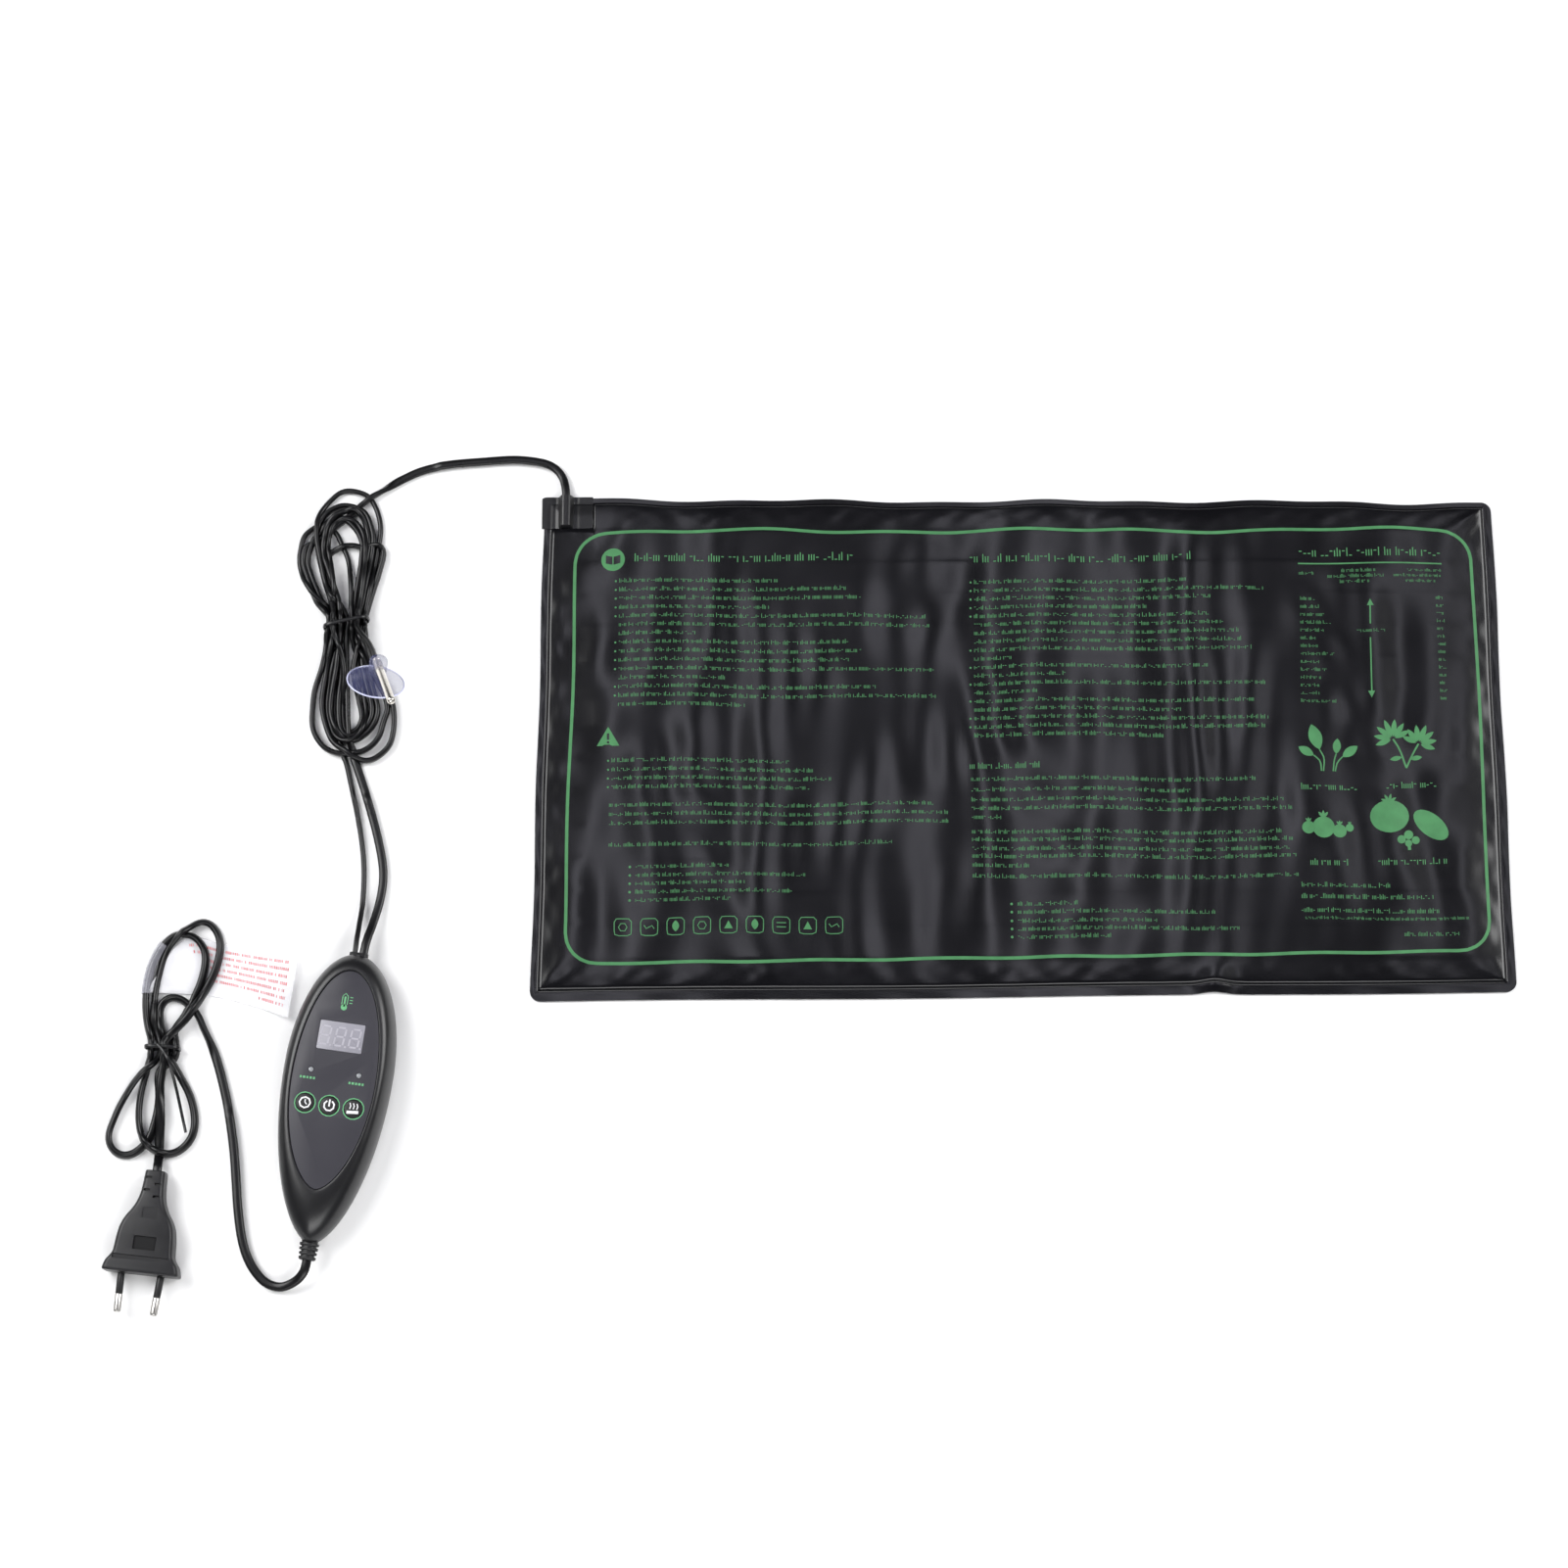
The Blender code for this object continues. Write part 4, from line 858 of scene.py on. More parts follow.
def build_tie(name, chains, tie, slope, node, tail=()):
    """A flat twist tie pulled close round a hank's waist, with its free end lying where tail says."""
    lows, highs = zip(*[chain.near(tie) for chain in chains])
    low = np.concatenate(lows).min(axis=0)
    high = np.concatenate(highs).max(axis=0)
    middle, half = (low + high) / 2, (high - low) / 2 + (0.5, 0.3)
    section = rounded_rectangle(*half, min(half) * 0.66, 8, middle)
    ring = [(x, tie[1] + slope * (x - middle[0]), max(z, 0.45)) for x, z in section]
    jacket = surface("tie_pvc", (0.007, 0.007, 0.008), 0.30, specular=0.35, bump=0.01)
    line = spaced(ring + ring[:1], 1.2)[:-1]
    rings = band_rings(line, 1.9, 0.8, 0, 12, 2.4, True, np.array([0, 1.0, 0]))
    obj = stands_for(loft(name, rings, jacket, looped=True), "tie_jacket", node)
    if tail:
        start = [(tie[0] - 1.5, tie[1] + 1.0, high[1] + 0.9), (tie[0] + 1.5, tie[1] - 2.0, high[1] + 1.5)]
        line = smooth_route([*start, *tail], 1.0)
        end = loft(f"{name}_tail", band_rings(line, 1.5, 0.8, 0, 10, 2.4), jacket)
    return obj


# The printed tag: its long edges, from the fold to the free end, and the heights that they share
TAG_FAR = [(-424.6, -120.0), (-410.0, -98.2), (-391.0, -100.8), (-372.0, -104.2), (-354.0, -106.6)]
TAG_NEAR = [(-426.6, -126.0), (-423.7, -125.0), (-395.5, -126.6), (-376.0, -131.6), (-358.1, -137.9)]
TAG_HEIGHTS = [3.6, 2.4, 0.45, 1.8, 3.4]
TAG_COLUMNS = 36
TAG_ROWS = 14
# A dash's corners, as shares of its length and of the tag's width, and where each row of dashes
# starts, as a share of the tag's length
DASH_CORNERS = ((0, 0), (1, 0), (1, 0.05), (0, 0.05))
DASHES_FROM = (0.34, 0.36, 0.46, 0.42, 0.50, 0.38, 0.78)


def tag_edge(places):
    """One long edge of the tag, read at even steps."""
    edge = smooth_route([(x, y, z) for (x, y), z in zip(places, TAG_HEIGHTS)], 2.0)
    return read_at(np.linspace(0, 1, TAG_COLUMNS), np.linspace(0, 1, len(edge)), edge)


def tag_surface():
    """The tag's rows of points, with a slight wave and its free corners raised."""
    far, near = tag_edge(TAG_FAR), tag_edge(TAG_NEAR)
    along = np.linspace(0, 1, TAG_COLUMNS)
    phase = np.linspace(0, 9, TAG_COLUMNS)
    growing = np.linspace(0.1, 1, TAG_COLUMNS)
    rows = []
    for k in range(TAG_ROWS + 1):
        t = k / TAG_ROWS
        row = far * (1 - t) + near * t
        row[:, 2] += 0.5 * np.sin(phase + 2 * t) * growing
        row[:, 2] += 1.3 * along**3 * (2 * t - 1) ** 2
        row[:, 2] = np.maximum(row[:, 2], 0.25)
        rows.append(row)
    return np.array(rows)


def tag_point(grid, s, t):
    """A point of the tag at shares of its length and of its width."""
    a, b = s * (TAG_COLUMNS - 1), t * TAG_ROWS
    i, j = min(int(a), TAG_COLUMNS - 2), min(int(b), TAG_ROWS - 1)
    a, b = a - i, b - j
    return ((grid[j, i] * (1 - a) + grid[j, i + 1] * a) * (1 - b)
            + (grid[j + 1, i] * (1 - a) + grid[j + 1, i + 1] * a) * b)


def build_dashes(grid):
    """Rows of short dashes on the tag, in place of its print."""
    rng = np.random.default_rng(11)
    box = [(0, 1, 2, 3), (7, 6, 5, 4), (0, 1, 5, 4), (1, 2, 6, 5), (2, 3, 7, 6), (3, 0, 4, 7)]
    points, faces = [], []
    for row, s in enumerate(DASHES_FROM):
        t = 0.12 + 0.115 * row
        while s < 0.955:
            wide = rng.uniform(0.0035, 0.009)
            corners = [tag_point(grid, s + a * wide, t + b) for a, b in DASH_CORNERS]
            first = len(points)
            points += [c + (0, 0, 0.05) for c in corners] + [c - (0, 0, 0.03) for c in corners]
            faces += [tuple(first + k for k in face) for face in box]
            s += wide + (0.005 if rng.random() < 0.8 else 0.016)
    ink = surface("tag_ink", (0.56, 0.16, 0.17), 0.6, mottle=0.25, patch=2)
    marks = mesh_object("tag_dashes", points, faces, ink)
    return marks


def build_sleeve(mains):
    """The part of the tag that is folded round the outer strand of the mains hank."""
    film = surface("sleeve_film", (0.50, 0.50, 0.57), 0.22, mottle=0.15, patch=3)
    x, y = mains.points[:, 0], mains.points[:, 1]
    at = np.flatnonzero((y < -101) & (y > -126) & (x < -411) & (x > -431))
    runs = np.split(at, np.flatnonzero(np.diff(at) > 1) + 1)
    outer = min(runs, key=lambda run: x[run].mean())
    rings = band_rings(mains.points[outer], 5.9, 4.2, mains.roll[outer], 20, 2.0)
    sleeve = loft("tag_sleeve", rings, see_through(film, 0.30, 0.7))
    return sleeve


def build_tag(mains):
    """The printed film flag: it is folded round one strand of the mains hank."""
    film = see_through(surface("tag_film", (0.93, 0.93, 0.96), 0.30, mottle=0.03, patch=9), 0.42, 0.8)
    grid = tag_surface()
    thick = np.array([0, 0, 0.12])
    rings = [np.concatenate([row, (row - thick)[::-1]]) for row in grid]
    tag = stands_for(loft("printed_tag", rings, film), "label_film", "label_tag")
    return [tag, build_dashes(grid), build_sleeve(mains)]


# ---------------------------------------------------------------- mat


def eased(value):
    value = np.clip(value, 0, 1)
    return value * value * (3 - 2 * value)


def share(value, ends):
    return (value - ends[0]) / (ends[1] - ends[0])


def between(ends, part):
    return ends[0] + (ends[1] - ends[0]) * part


def mat_edges(u, v):
    """The mat's left, right, bottom and back edges, at shares of the way across and up it."""
    return between(MAT_LEFT, v), between(MAT_RIGHT, v), between(MAT_BOTTOM, u), between(MAT_BACK, u)


def mat_sides(x, y):
    """Distances of a point of the mat from its left, right, bottom and back edges."""
    left, right, bottom, back = mat_edges(share(x, MAT_X), share(y, MAT_Y))
    return x - left, right - x, y - bottom, back - y


def bell(value):
    return np.exp(-(value**2))


def field_height(x, y, edge):
    """The raised field: fine waves, soft ripples, wire ridges, a puckered rim, corner creases."""
    calm = eased((np.hypot(x + 238, y - 127) - 34) / 12)
    wave = 1 + np.sin(x / 6.6 + 1.3 * np.sin(y / 38 + 0.5) + 0.6 * np.sin(x / 31))
    field = FIELD_HEIGHT + 0.28 * calm * wave * (0.55 + 0.45 * np.sin(y / 19 + x / 37))
    wave = 1 + np.sin(x / 3.9 + 1.1 * np.sin(y / 25 + x / 60) + 2)
    field = field + 0.12 * calm * wave * (0.5 + 0.5 * np.sin(y / 14 - x / 34 + 1))
    wave = 1 + np.sin(y / 5.6 + 1.5 * np.sin(x / 23) + 0.8 * np.sin(x / 9 + y / 30))
    field = field + 0.16 * calm * wave * (0.5 + 0.5 * np.sin(x / 29 + y / 44 + 2))
    for centre, width, height, lean, middle, reach in RIPPLES:
        across = (x - centre - lean * y - 4 * np.sin(y / 41 + centre)) / width
        field = field + 1.3 * height * bell(across) * bell((y - middle) / reach)
    nearest = (WIRE_FIRST - y) / WIRE_PITCH
    off_wire = (nearest - np.round(np.clip(nearest, 0, WIRE_RUNS - 1))) * WIRE_PITCH
    field = field + 0.16 * bell(off_wire / 1.7) * eased((222 - np.abs(x)) / 8)
    pucker = 0.22 * np.sin(x / 2.9 + np.sin(y / 7)) * np.sin(y / 3.3 + np.sin(x / 9))
    field = field + calm * pucker * bell((edge - 6) / 4.0)
    for corner_x, corner_y in MAT_CORNERS:
        reach = np.hypot(x - corner_x, y - corner_y)
        turn = np.arctan2((y - corner_y) * -np.sign(corner_y), (x - corner_x) * -np.sign(corner_x))
        crease = bell((turn - 0.62) * reach / 1.6) + 0.6 * bell((turn - 0.95) * reach / 1.5)
        field = field + 0.55 * crease * bell((reach - 13) / 9)
    return field


def mat_height(x, y, edge=None):
    """The top of the mat's cover: a low hem, the weld line inside it, and the field."""
    x, y = np.asarray(x, float), np.asarray(y, float)
    if edge is None:
        edge = np.minimum.reduce([side - hem for side, hem in zip(mat_sides(x, y), HEM)])
    height = HEM_HEIGHT + HEM_STEP * eased((edge + 0.1) / HEM_STEP_WIDTH)
    raised = field_height(x, y, edge) - HEM_HEIGHT - HEM_STEP
    height = height + raised * (1 - np.exp(-np.maximum(edge, 0) / 8.5))
    welded = eased(np.minimum(CORNER_RIGHT - x, y - CORNER_FRONT) / 1.1)
    low = HEM_HEIGHT + CORNER_RISE * eased((edge + 1) / 8)
    height = height + (np.minimum(low, height) - height) * welded
    height = height - 0.16 * bell((edge + 0.2) / 0.45)
    height = height + 0.10 * np.sin(x / 6.1 + y / 5.3) * eased(-edge / 3)
    return height + 1.5 * bell((x - BUCKLE[0]) / 8) * bell((y - BUCKLE[1]) / 8)


# Stations across the hem, from the mat's edge inwards, and those at the step of the welded corner
HEM_STATIONS = np.array([0, 0.8, 1.6, 2.2, 2.6, 3.0, 3.4, 3.8, 4.2, 4.6, 5.0, 5.4, 5.9, 6.6, 7.6, 9.0,
                         10.6, 12.4])
CORNER_STATIONS = [25.0, 25.7, 26.2, 26.7, 27.2, 27.9]


def stations(size, pitch, extra):
    """Stations over one side of the mat, as shares of it."""
    last = HEM_STATIONS[-1]
    inner = np.linspace(last, size - last, round((size - 2 * last) / pitch) + 1)[1:-1]
    return np.sort(np.concatenate([HEM_STATIONS, inner, size - HEM_STATIONS, extra])) / size


def mat_grid(pitch_x, pitch_y):
    """Rows of points across the mat, close together near the hem, with its corners rounded."""
    u, v = np.meshgrid(stations(MAT_WIDE, pitch_x, CORNER_STATIONS), stations(MAT_DEEP, pitch_y, []))
    left, right = u * MAT_WIDE, (1 - u) * MAT_WIDE
    low, high = v * MAT_DEEP, (1 - v) * MAT_DEEP
    left_side, low_side = left < right, low < high
    a, b = np.minimum(left, right), np.minimum(low, high)
    p, q = np.clip(1 - a / MAT_CORNER, 0, 1), np.clip(1 - b / MAT_CORNER, 0, 1)
    corner = (p > 0) & (q > 0)
    a = np.where(corner, MAT_CORNER * (1 - p * np.sqrt(1 - q * q / 2)), a)
    b = np.where(corner, MAT_CORNER * (1 - q * np.sqrt(1 - p * p / 2)), b)
    u = np.where(left_side, a, MAT_WIDE - a) / MAT_WIDE
    v = np.where(low_side, b, MAT_DEEP - b) / MAT_DEEP
    left, right, bottom, back = mat_edges(u, v)
    x = left + (right - left) * u
    back = back + 0.7 * np.sin(x / 19 + 0.6) + 0.4 * np.sin(x / 8.3) + 0.3 * np.sin(x / 47)
    bottom = bottom + 0.3 * np.sin(x / 37) + 1.4 * bell((x - BUCKLE[0]) / 7)
    y = bottom + (back - bottom) * v
    near_side = np.clip(1 - np.minimum(u, 1 - u) * 40, 0, 1)
    x = x + np.where(u < 0.5, 1, -1) * 0.35 * np.sin(y / 16) * near_side
    hem_x = np.where(left_side, HEM[0], HEM[1])
    hem_y = np.where(low_side, HEM[2], HEM[3])
    return x, y, np.minimum(a - hem_x, b - hem_y)


def sheet_object(name, x, y, top, bottom, finish):
    """A thin closed sheet over a grid of places, with its own top and bottom heights."""
    rows, across = x.shape
    upper, lower = (np.stack([x, y, z], axis=2).reshape(-1, 3)
                    for z in (np.broadcast_to(top, x.shape), np.broadcast_to(bottom, x.shape)))
    total = rows * across
    faces = []
    for i in range(rows - 1):
        for k in range(across - 1):
            a = i * across + k
            faces.append((a, a + 1, a + across + 1, a + across))
            faces.append((total + a + across, total + a + across + 1, total + a + 1, total + a))
    rim = [(0, k) for k in range(across)] + [(i, across - 1) for i in range(1, rows)]
    rim += [(rows - 1, k) for k in range(across - 2, -1, -1)] + [(i, 0) for i in range(rows - 2, 0, -1)]
    ids = [i * across + k for i, k in rim]
    for a, b in zip(ids, ids[1:] + ids[:1]):
        faces.append((a, total + a, total + b, b))
    return mesh_object(name, np.concatenate([upper, lower]), faces, finish, sharp=50)


def build_mat():
    """The two covers and what lies in and on them."""
    cover = surface("mat_pvc", (0.0030, 0.0030, 0.0040), 0.18, specular=0.38, grain=0.9, bump=0.004,
                    mottle=0.2, patch=40)
    x, y, edge = mat_grid(2.6, 1.5)
    top = mat_height(x, y, edge)
    upper = sheet_object("mat_top_sheet", x, y, top, np.maximum(top - SHEET, 0.48), cover)
    stands_for(upper, "mat_cover", "mat_top_cover")

    x, y, _ = mat_grid(2.6, 12)
    lower = sheet_object("mat_bottom_sheet", x, y, 0.44, 0.0, cover)
    stands_for(lower, "mat_cover", "mat_bottom_cover")
    build_layers()
    build_entry()
    build_print(cover)


def build_layers():
    """The felt and the foil inside the mat, which follow its outline as it lies."""
    felt = surface("felt", (0.72, 0.71, 0.67), 0.92, grain=0.25, bump=0.06, mottle=0.07, patch=5)
    foil = surface("foil", (0.78, 0.78, 0.80), 0.26, 1.0, grain=1.2, bump=0.03, mottle=0.06, patch=9)
    u, v = np.meshgrid(np.linspace(0, 1, 13), np.linspace(0, 1, 7))
    left, right, bottom, back = mat_edges(u, v)
    for name, by, low, high, finish, node, slot in (
        ("felt_sheet", 7.5, 0.52, 0.95, felt, "insulation_pad", "felt"),
        ("foil_sheet", 11.0, 1.0, 1.3, foil, "reflective_foil", "foil"),
    ):
        x = left + by + (right - by - (left + by)) * u
        y = bottom + by + (back - by - (bottom + by)) * v
        obj = stands_for(sheet_object(name, x, y, high, low, finish), slot, node)


def entry_height(x, y):
    """The corner patch: it lies on the mat and arches over the lead that comes in at the back."""
    ground = mat_height(x, y) + 0.5
    off = np.abs(x - ENTRY_X)
    arch = 6.0 * np.exp(-((off / 3.6) ** 4.5)) * eased((y - CORNER_FRONT - 0.2) / 1.8)
    return np.maximum(ground, arch) - 0.2 * np.exp(-(((off - 5.4) / 0.8) ** 2))


def build_entry():
    """The welded corner patch over the leads' way in, with one rounded corner."""
    finish = surface("patch_pvc", (0.0042, 0.0042, 0.0052), 0.32, specular=0.40, grain=0.8, bump=0.004,
                     mottle=0.2)
    left, right, front, back = ENTRY_BOX
    over_lead = ENTRY_X + np.linspace(-5, 5, 34)
    columns = np.unique(np.concatenate([np.linspace(left, right, 40), over_lead]))
    x, y = np.meshgrid(columns, np.linspace(front, back, 40))
    inner_x = np.clip((left + ENTRY_ROUND - x) / ENTRY_ROUND, 0, 1)
    inner_y = np.clip((y - back + ENTRY_ROUND) / ENTRY_ROUND, 0, 1)
    drop = inner_y * (1 - np.sqrt(1 - inner_x**2 / 2)) * ENTRY_ROUND
    y = y - np.where((inner_x > 0) & (inner_y > 0), drop, 0)
    top = entry_height(x, y)
    obj = sheet_object("entry_patch", x, y, top, top - 0.45, finish)
    stands_for(obj, "mat_cover", "mat_cord_entry")


# ---------------------------------------------------------------- print on the mat


def words(marks, rng, x, end, y, tall):
    """A line of thin upright ticks and short dashes in groups, in place of print: no letters."""
    stroke = tall * (0.115 if tall < 4 else 0.105)
    while x < end:
        for _ in range(rng.integers(3, 10)):
            kind = rng.random()
            wide = stroke * 2.6 if kind < 0.3 else stroke
            if x + wide > end:
                return
            if kind < 0.3:
                marks.bar(x + wide / 2, y + tall * rng.choice([-0.22, 0.0, 0.22]), wide / 2, stroke / 2)
            else:
                high = tall * (0.62 if kind < 0.85 else 0.85)
                marks.bar(x + wide / 2, y + (high - tall * 0.62) / 2, wide / 2, high / 2)
            x += wide + tall * 0.15
        x += tall * 0.34


def print_drift(x, y):
    """How the print follows the cover's slack: small slow waves up and down."""
    return 0.55 * np.sin(x / 15 + y / 70) + 0.45 * np.sin(x / 37 - y / 40 + 1)


def placed(outline, x, y, angle):
    """An outline turned by an angle and set at a place."""
    c, s = math.cos(angle), math.sin(angle)
    return [(x + a * c - b * s, y + a * s + b * c) for a, b in outline]


def leaf(marks, x, y, length, width, angle):
    """One pointed leaf from its stalk's end."""
    half = [(t * length, width / 2 * math.sin(math.pi * t) ** 0.8) for t in np.linspace(0, 1, 9)]
    outline = [(a, -b) for a, b in half] + [(a, b) for a, b in half[-2:0:-1]]
    marks.fill(placed(outline, x, y, angle))


def oval(marks, x, y, half_long, half_wide, angle=0.0):
    outline = [(a * half_long, b * half_wide) for a, b in circle(1, 24)]
    marks.fill(placed(outline, x, y, angle))


def stalk(marks, *points, width=0.7):
    line = smooth_route([(x, y, 0) for x, y in points], 1.0)
    marks.ribbon(line[:, :2], width)


def draw_sprouts(marks):
    for foot, bend, top, length, wide, angle in (
        ((149.0, -15.5), (149.5, -9.0), (147.5, -4.5), 13.5, 6.6, 1.85),
        ((148.0, -15.5), (147.5, -10.5), (144.5, -7.5), 8.5, 4.4, 2.62),
        ((153.8, -15.5), (154.5, -10.0), (155.6, -6.5), 8.0, 4.0, 1.45),
        ((154.8, -15.5), (156.0, -11.0), (158.6, -8.0), 9.5, 4.6, 0.62),
    ):
        stalk(marks, foot, bend, top)
        leaf(marks, *top, length, wide, angle)


def draw_flowers(marks):
    for x, y, lean, size in ((184.0, 0.5, 1.95, 9.5), (196.5, -2.5, 1.15, 9.0)):
        for k in range(7):
            turn = lean + (k - 3) * 0.50
            root = (x + 1.2 * math.cos(turn), y + 1.2 * math.sin(turn))
            leaf(marks, *root, size - 0.5 * abs(k - 3), 2.7, turn)
        stalk(marks, (x, y), ((x + 190) / 2, y - 5.5), (190.0, -14.5), width=0.9)
    leaf(marks, 188.0, -9.0, 6.0, 2.4, 3.3)
    leaf(marks, 192.0, -10.0, 6.0, 2.4, 0.1)


def draw_fruits(marks):
    fruits = ((148.0, -44.4, 5.4), (140.6, -44.6, 3.2), (155.8, -46.2, 3.4), (160.8, -44.4, 2.0))
    for x, y, radius in fruits:
        marks.disc(x, y, radius, 24)
        for turn in (0.9, 1.57, 2.24):
            leaf(marks, x, y + radius * 0.9, radius * 0.7, radius * 0.26, turn)


def draw_vegetables(marks):
    oval(marks, 180.6, -38.8, 9.6, 8.2)
    for turn in (0.5, 1.3, 2.1, 2.8):
        leaf(marks, 180.6, -31.4, 4.2, 1.4, turn)
    oval(marks, 200.8, -43.8, 10.2, 5.4, -0.72)
    florets = ((186.0, -50.6, 2.1), (189.6, -48.4, 2.3), (193.0, -51.2, 2.0), (189.4, -52.6, 1.8))
    for x, y, radius in florets:
        marks.disc(x, y, radius, 14)
    stalk(marks, (189.4, -52.0), (189.8, -56.0), width=1.6)


def pictogram(marks, kind, x, y, r):
    """Small plain symbols in rounded frames: a ring, two bars, a leaf, a wave and a triangle."""
    marks.ribbon(rounded_rectangle(r, r, r * 0.35, 4, (x, y)), 0.45, closed=True)
    if kind == 0:
        marks.ring(x, y, r * 0.5, 0.45, 16)
    elif kind == 1:
        for up in (-0.2, 0.3):
            marks.ribbon([(x - r * 0.55, y + r * up), (x + r * 0.55, y + r * up)], 0.5)
    elif kind == 2:
        leaf(marks, x, y - r * 0.6, r * 1.3, r * 0.8, math.pi / 2)
    elif kind == 3:
        wave = [(x + r * t, y + r * 0.25 * math.sin(7 * t)) for t in np.linspace(-0.6, 0.6, 9)]
        marks.ribbon(wave, 0.45)
    else:
        marks.fill([(x - r * 0.5, y - r * 0.45), (x + r * 0.5, y - r * 0.45), (x, y + r * 0.5)])


def border_line():
    """The printed border: a rounded rectangle that leans and waves with the slack of the cover."""
    half_x, half_y, radius = BORDER
    outline = rounded_rectangle(half_x, half_y, radius, 8, (BORDER_MIDDLE, 0))
    x, y = spaced(outline + outline[:1], 4.0)[:-1].T
    right = (1 + (x - BORDER_MIDDLE) / half_x) / 2
    back = (1 + y / half_y) / 2
    slack_left = 0.019 * y + 0.5 * np.sin(y / 20)
    slack_right = 0.4 * np.sin(y / 30 + 1)
    slack_back = 0.9 * np.sin(x / 24.6 + 0.8) + 0.6 * np.sin(x / 10.1 + 1.7)
    slack_front = 0.012 * x + 0.3 * np.sin(x / 9.6 - 0.6)
    slack_x = slack_left * (1 - right) + slack_right * right
    slack_y = slack_front * (1 - back) + slack_back * back
    return np.column_stack([x + slack_x, y + slack_y])


# Rows of print: the height of each and the x that it ends at. A list has a dot before each row.
LIST_DOT = (2.8, 0.65, 10)
CAUTION_DOT = (1.7, 0.55, 8)
LEFT_CAUTIONS = ((-9.7, -114), (-14.2, -102), (-18.6, -94), (-23.0, -104))
LEFT_NOTES = ((-32.0, -43), (-36.5, -36), (-41.0, -36), (-51.8, -64))
LEFT_LIST = ((-62.7, -144), (-66.9, -106), (-71.0, -136), (-75.2, -112), (-79.3, -142))
MIDDLE_NOTES = ((-19.6, 116), (-25.0, 84), (-30.0, 129), (-34.4, 133), (-38.9, -10), (-46.3, 128),
                (-50.2, 133), (-54.7, 132), (-58.6, 134), (-63.1, 3), (-68.5, 135))
MIDDLE_LIST = ((-82.0, 27), (-86.0, 94), (-90.4, 65), (-94.3, 106), (-98.3, 43))
# The two long paragraphs: the x that each row ends at, and the rows with no dot
LEFT_ENDS = (-119, -84, -78, -124, -46, -44, -161, -84, -78, -84, -42, -146, -71, -41, -136)
LEFT_PLAIN = (5, 6, 11, 14)
MIDDLE_ENDS = (85, 123, 97, 64, 95, 103, 110, 111, 116, -3, 94, 23, 122, 9, 116, 80, 123, 122, 72)
MIDDLE_PLAIN = (5, 6, 7, 9, 11, 13, 15, 18)
# The scale at the right: the widths of its names
SCALE_NAMES = (7, 9, 12, 15, 11, 7, 9, 16, 8, 12, 9, 8, 8, 16)


def rows_of_print(marks, rng, x, rows, tall, dot=None):
    """Rows of print from one x, each behind a dot where its gap, radius and sides are given."""
    for y, end in rows:
        if dot:
            marks.disc(x - dot[0], y, *dot[1:])
        words(marks, rng, x, end, y, tall)


def paragraph(marks, rng, dot, start, top, pitch, ends, plain_rows):
    """Rows of print at an even pitch; dot and start are an x and its lean from row to row."""
    for k, end in enumerate(ends):
        y = top - pitch * k
        if k not in plain_rows:
            marks.disc(dot[0] - dot[1] * k, y, 0.55, 8)
        words(marks, rng, start[0] - start[1] * k, end, y, 2.6)


def print_emblems(ink, over):
    """A disc with an open book, and a triangle with a stroke and a dot."""
    x = -202.4
    ink.disc(x, 94.1, 5.9, 36)
    for side in (-1, 1):
        page = [(x + side * off, y) for off, y in ((0.3, 91.4), (3.6, 92.2), (3.6, 96.4), (0.3, 95.6))]
        over.fill(page[::side])
    ink.fill([(-209.6, -2.2), (-198.4, -2.2), (-204.0, 7.4)])
    over.bar(-204.0, 2.4, 0.55, 1.6)
    over.bar(-204.0, -0.4, 0.55, 0.5)


def print_left(ink, rng):
    words(ink, rng, -191.6, -81.2, 94.4, 5.0)
    paragraph(ink, rng, (-200.9, 0), (-199.2, 0), 82.8, 4.58, LEFT_ENDS, LEFT_PLAIN)
    rows_of_print(ink, rng, -202.2, LEFT_CAUTIONS, 2.5, CAUTION_DOT)
    rows_of_print(ink, rng, -203.2, LEFT_NOTES, 2.5)
    rows_of_print(ink, rng, -190.0, LEFT_LIST, 2.5, LIST_DOT)
    for k in range(9):
        pictogram(ink, (k * 3 + k // 2) % 5, -196.0 + 12.9 * k, -92.6, 4.2)


def print_middle(ink, rng):
    words(ink, rng, -23.8, 88.0, 94.2, 5.0)
    paragraph(ink, rng, (-23.6, 0.07), (-21.8, 0.06), 82.3, 4.42, MIDDLE_ENDS, MIDDLE_PLAIN)
    words(ink, rng, -25.4, 9.4, -13.1, 3.6)
    rows_of_print(ink, rng, -24.8, MIDDLE_NOTES, 2.6)
    rows_of_print(ink, rng, -3.0, MIDDLE_LIST, 2.5, (3.0, *LIST_DOT[1:]))


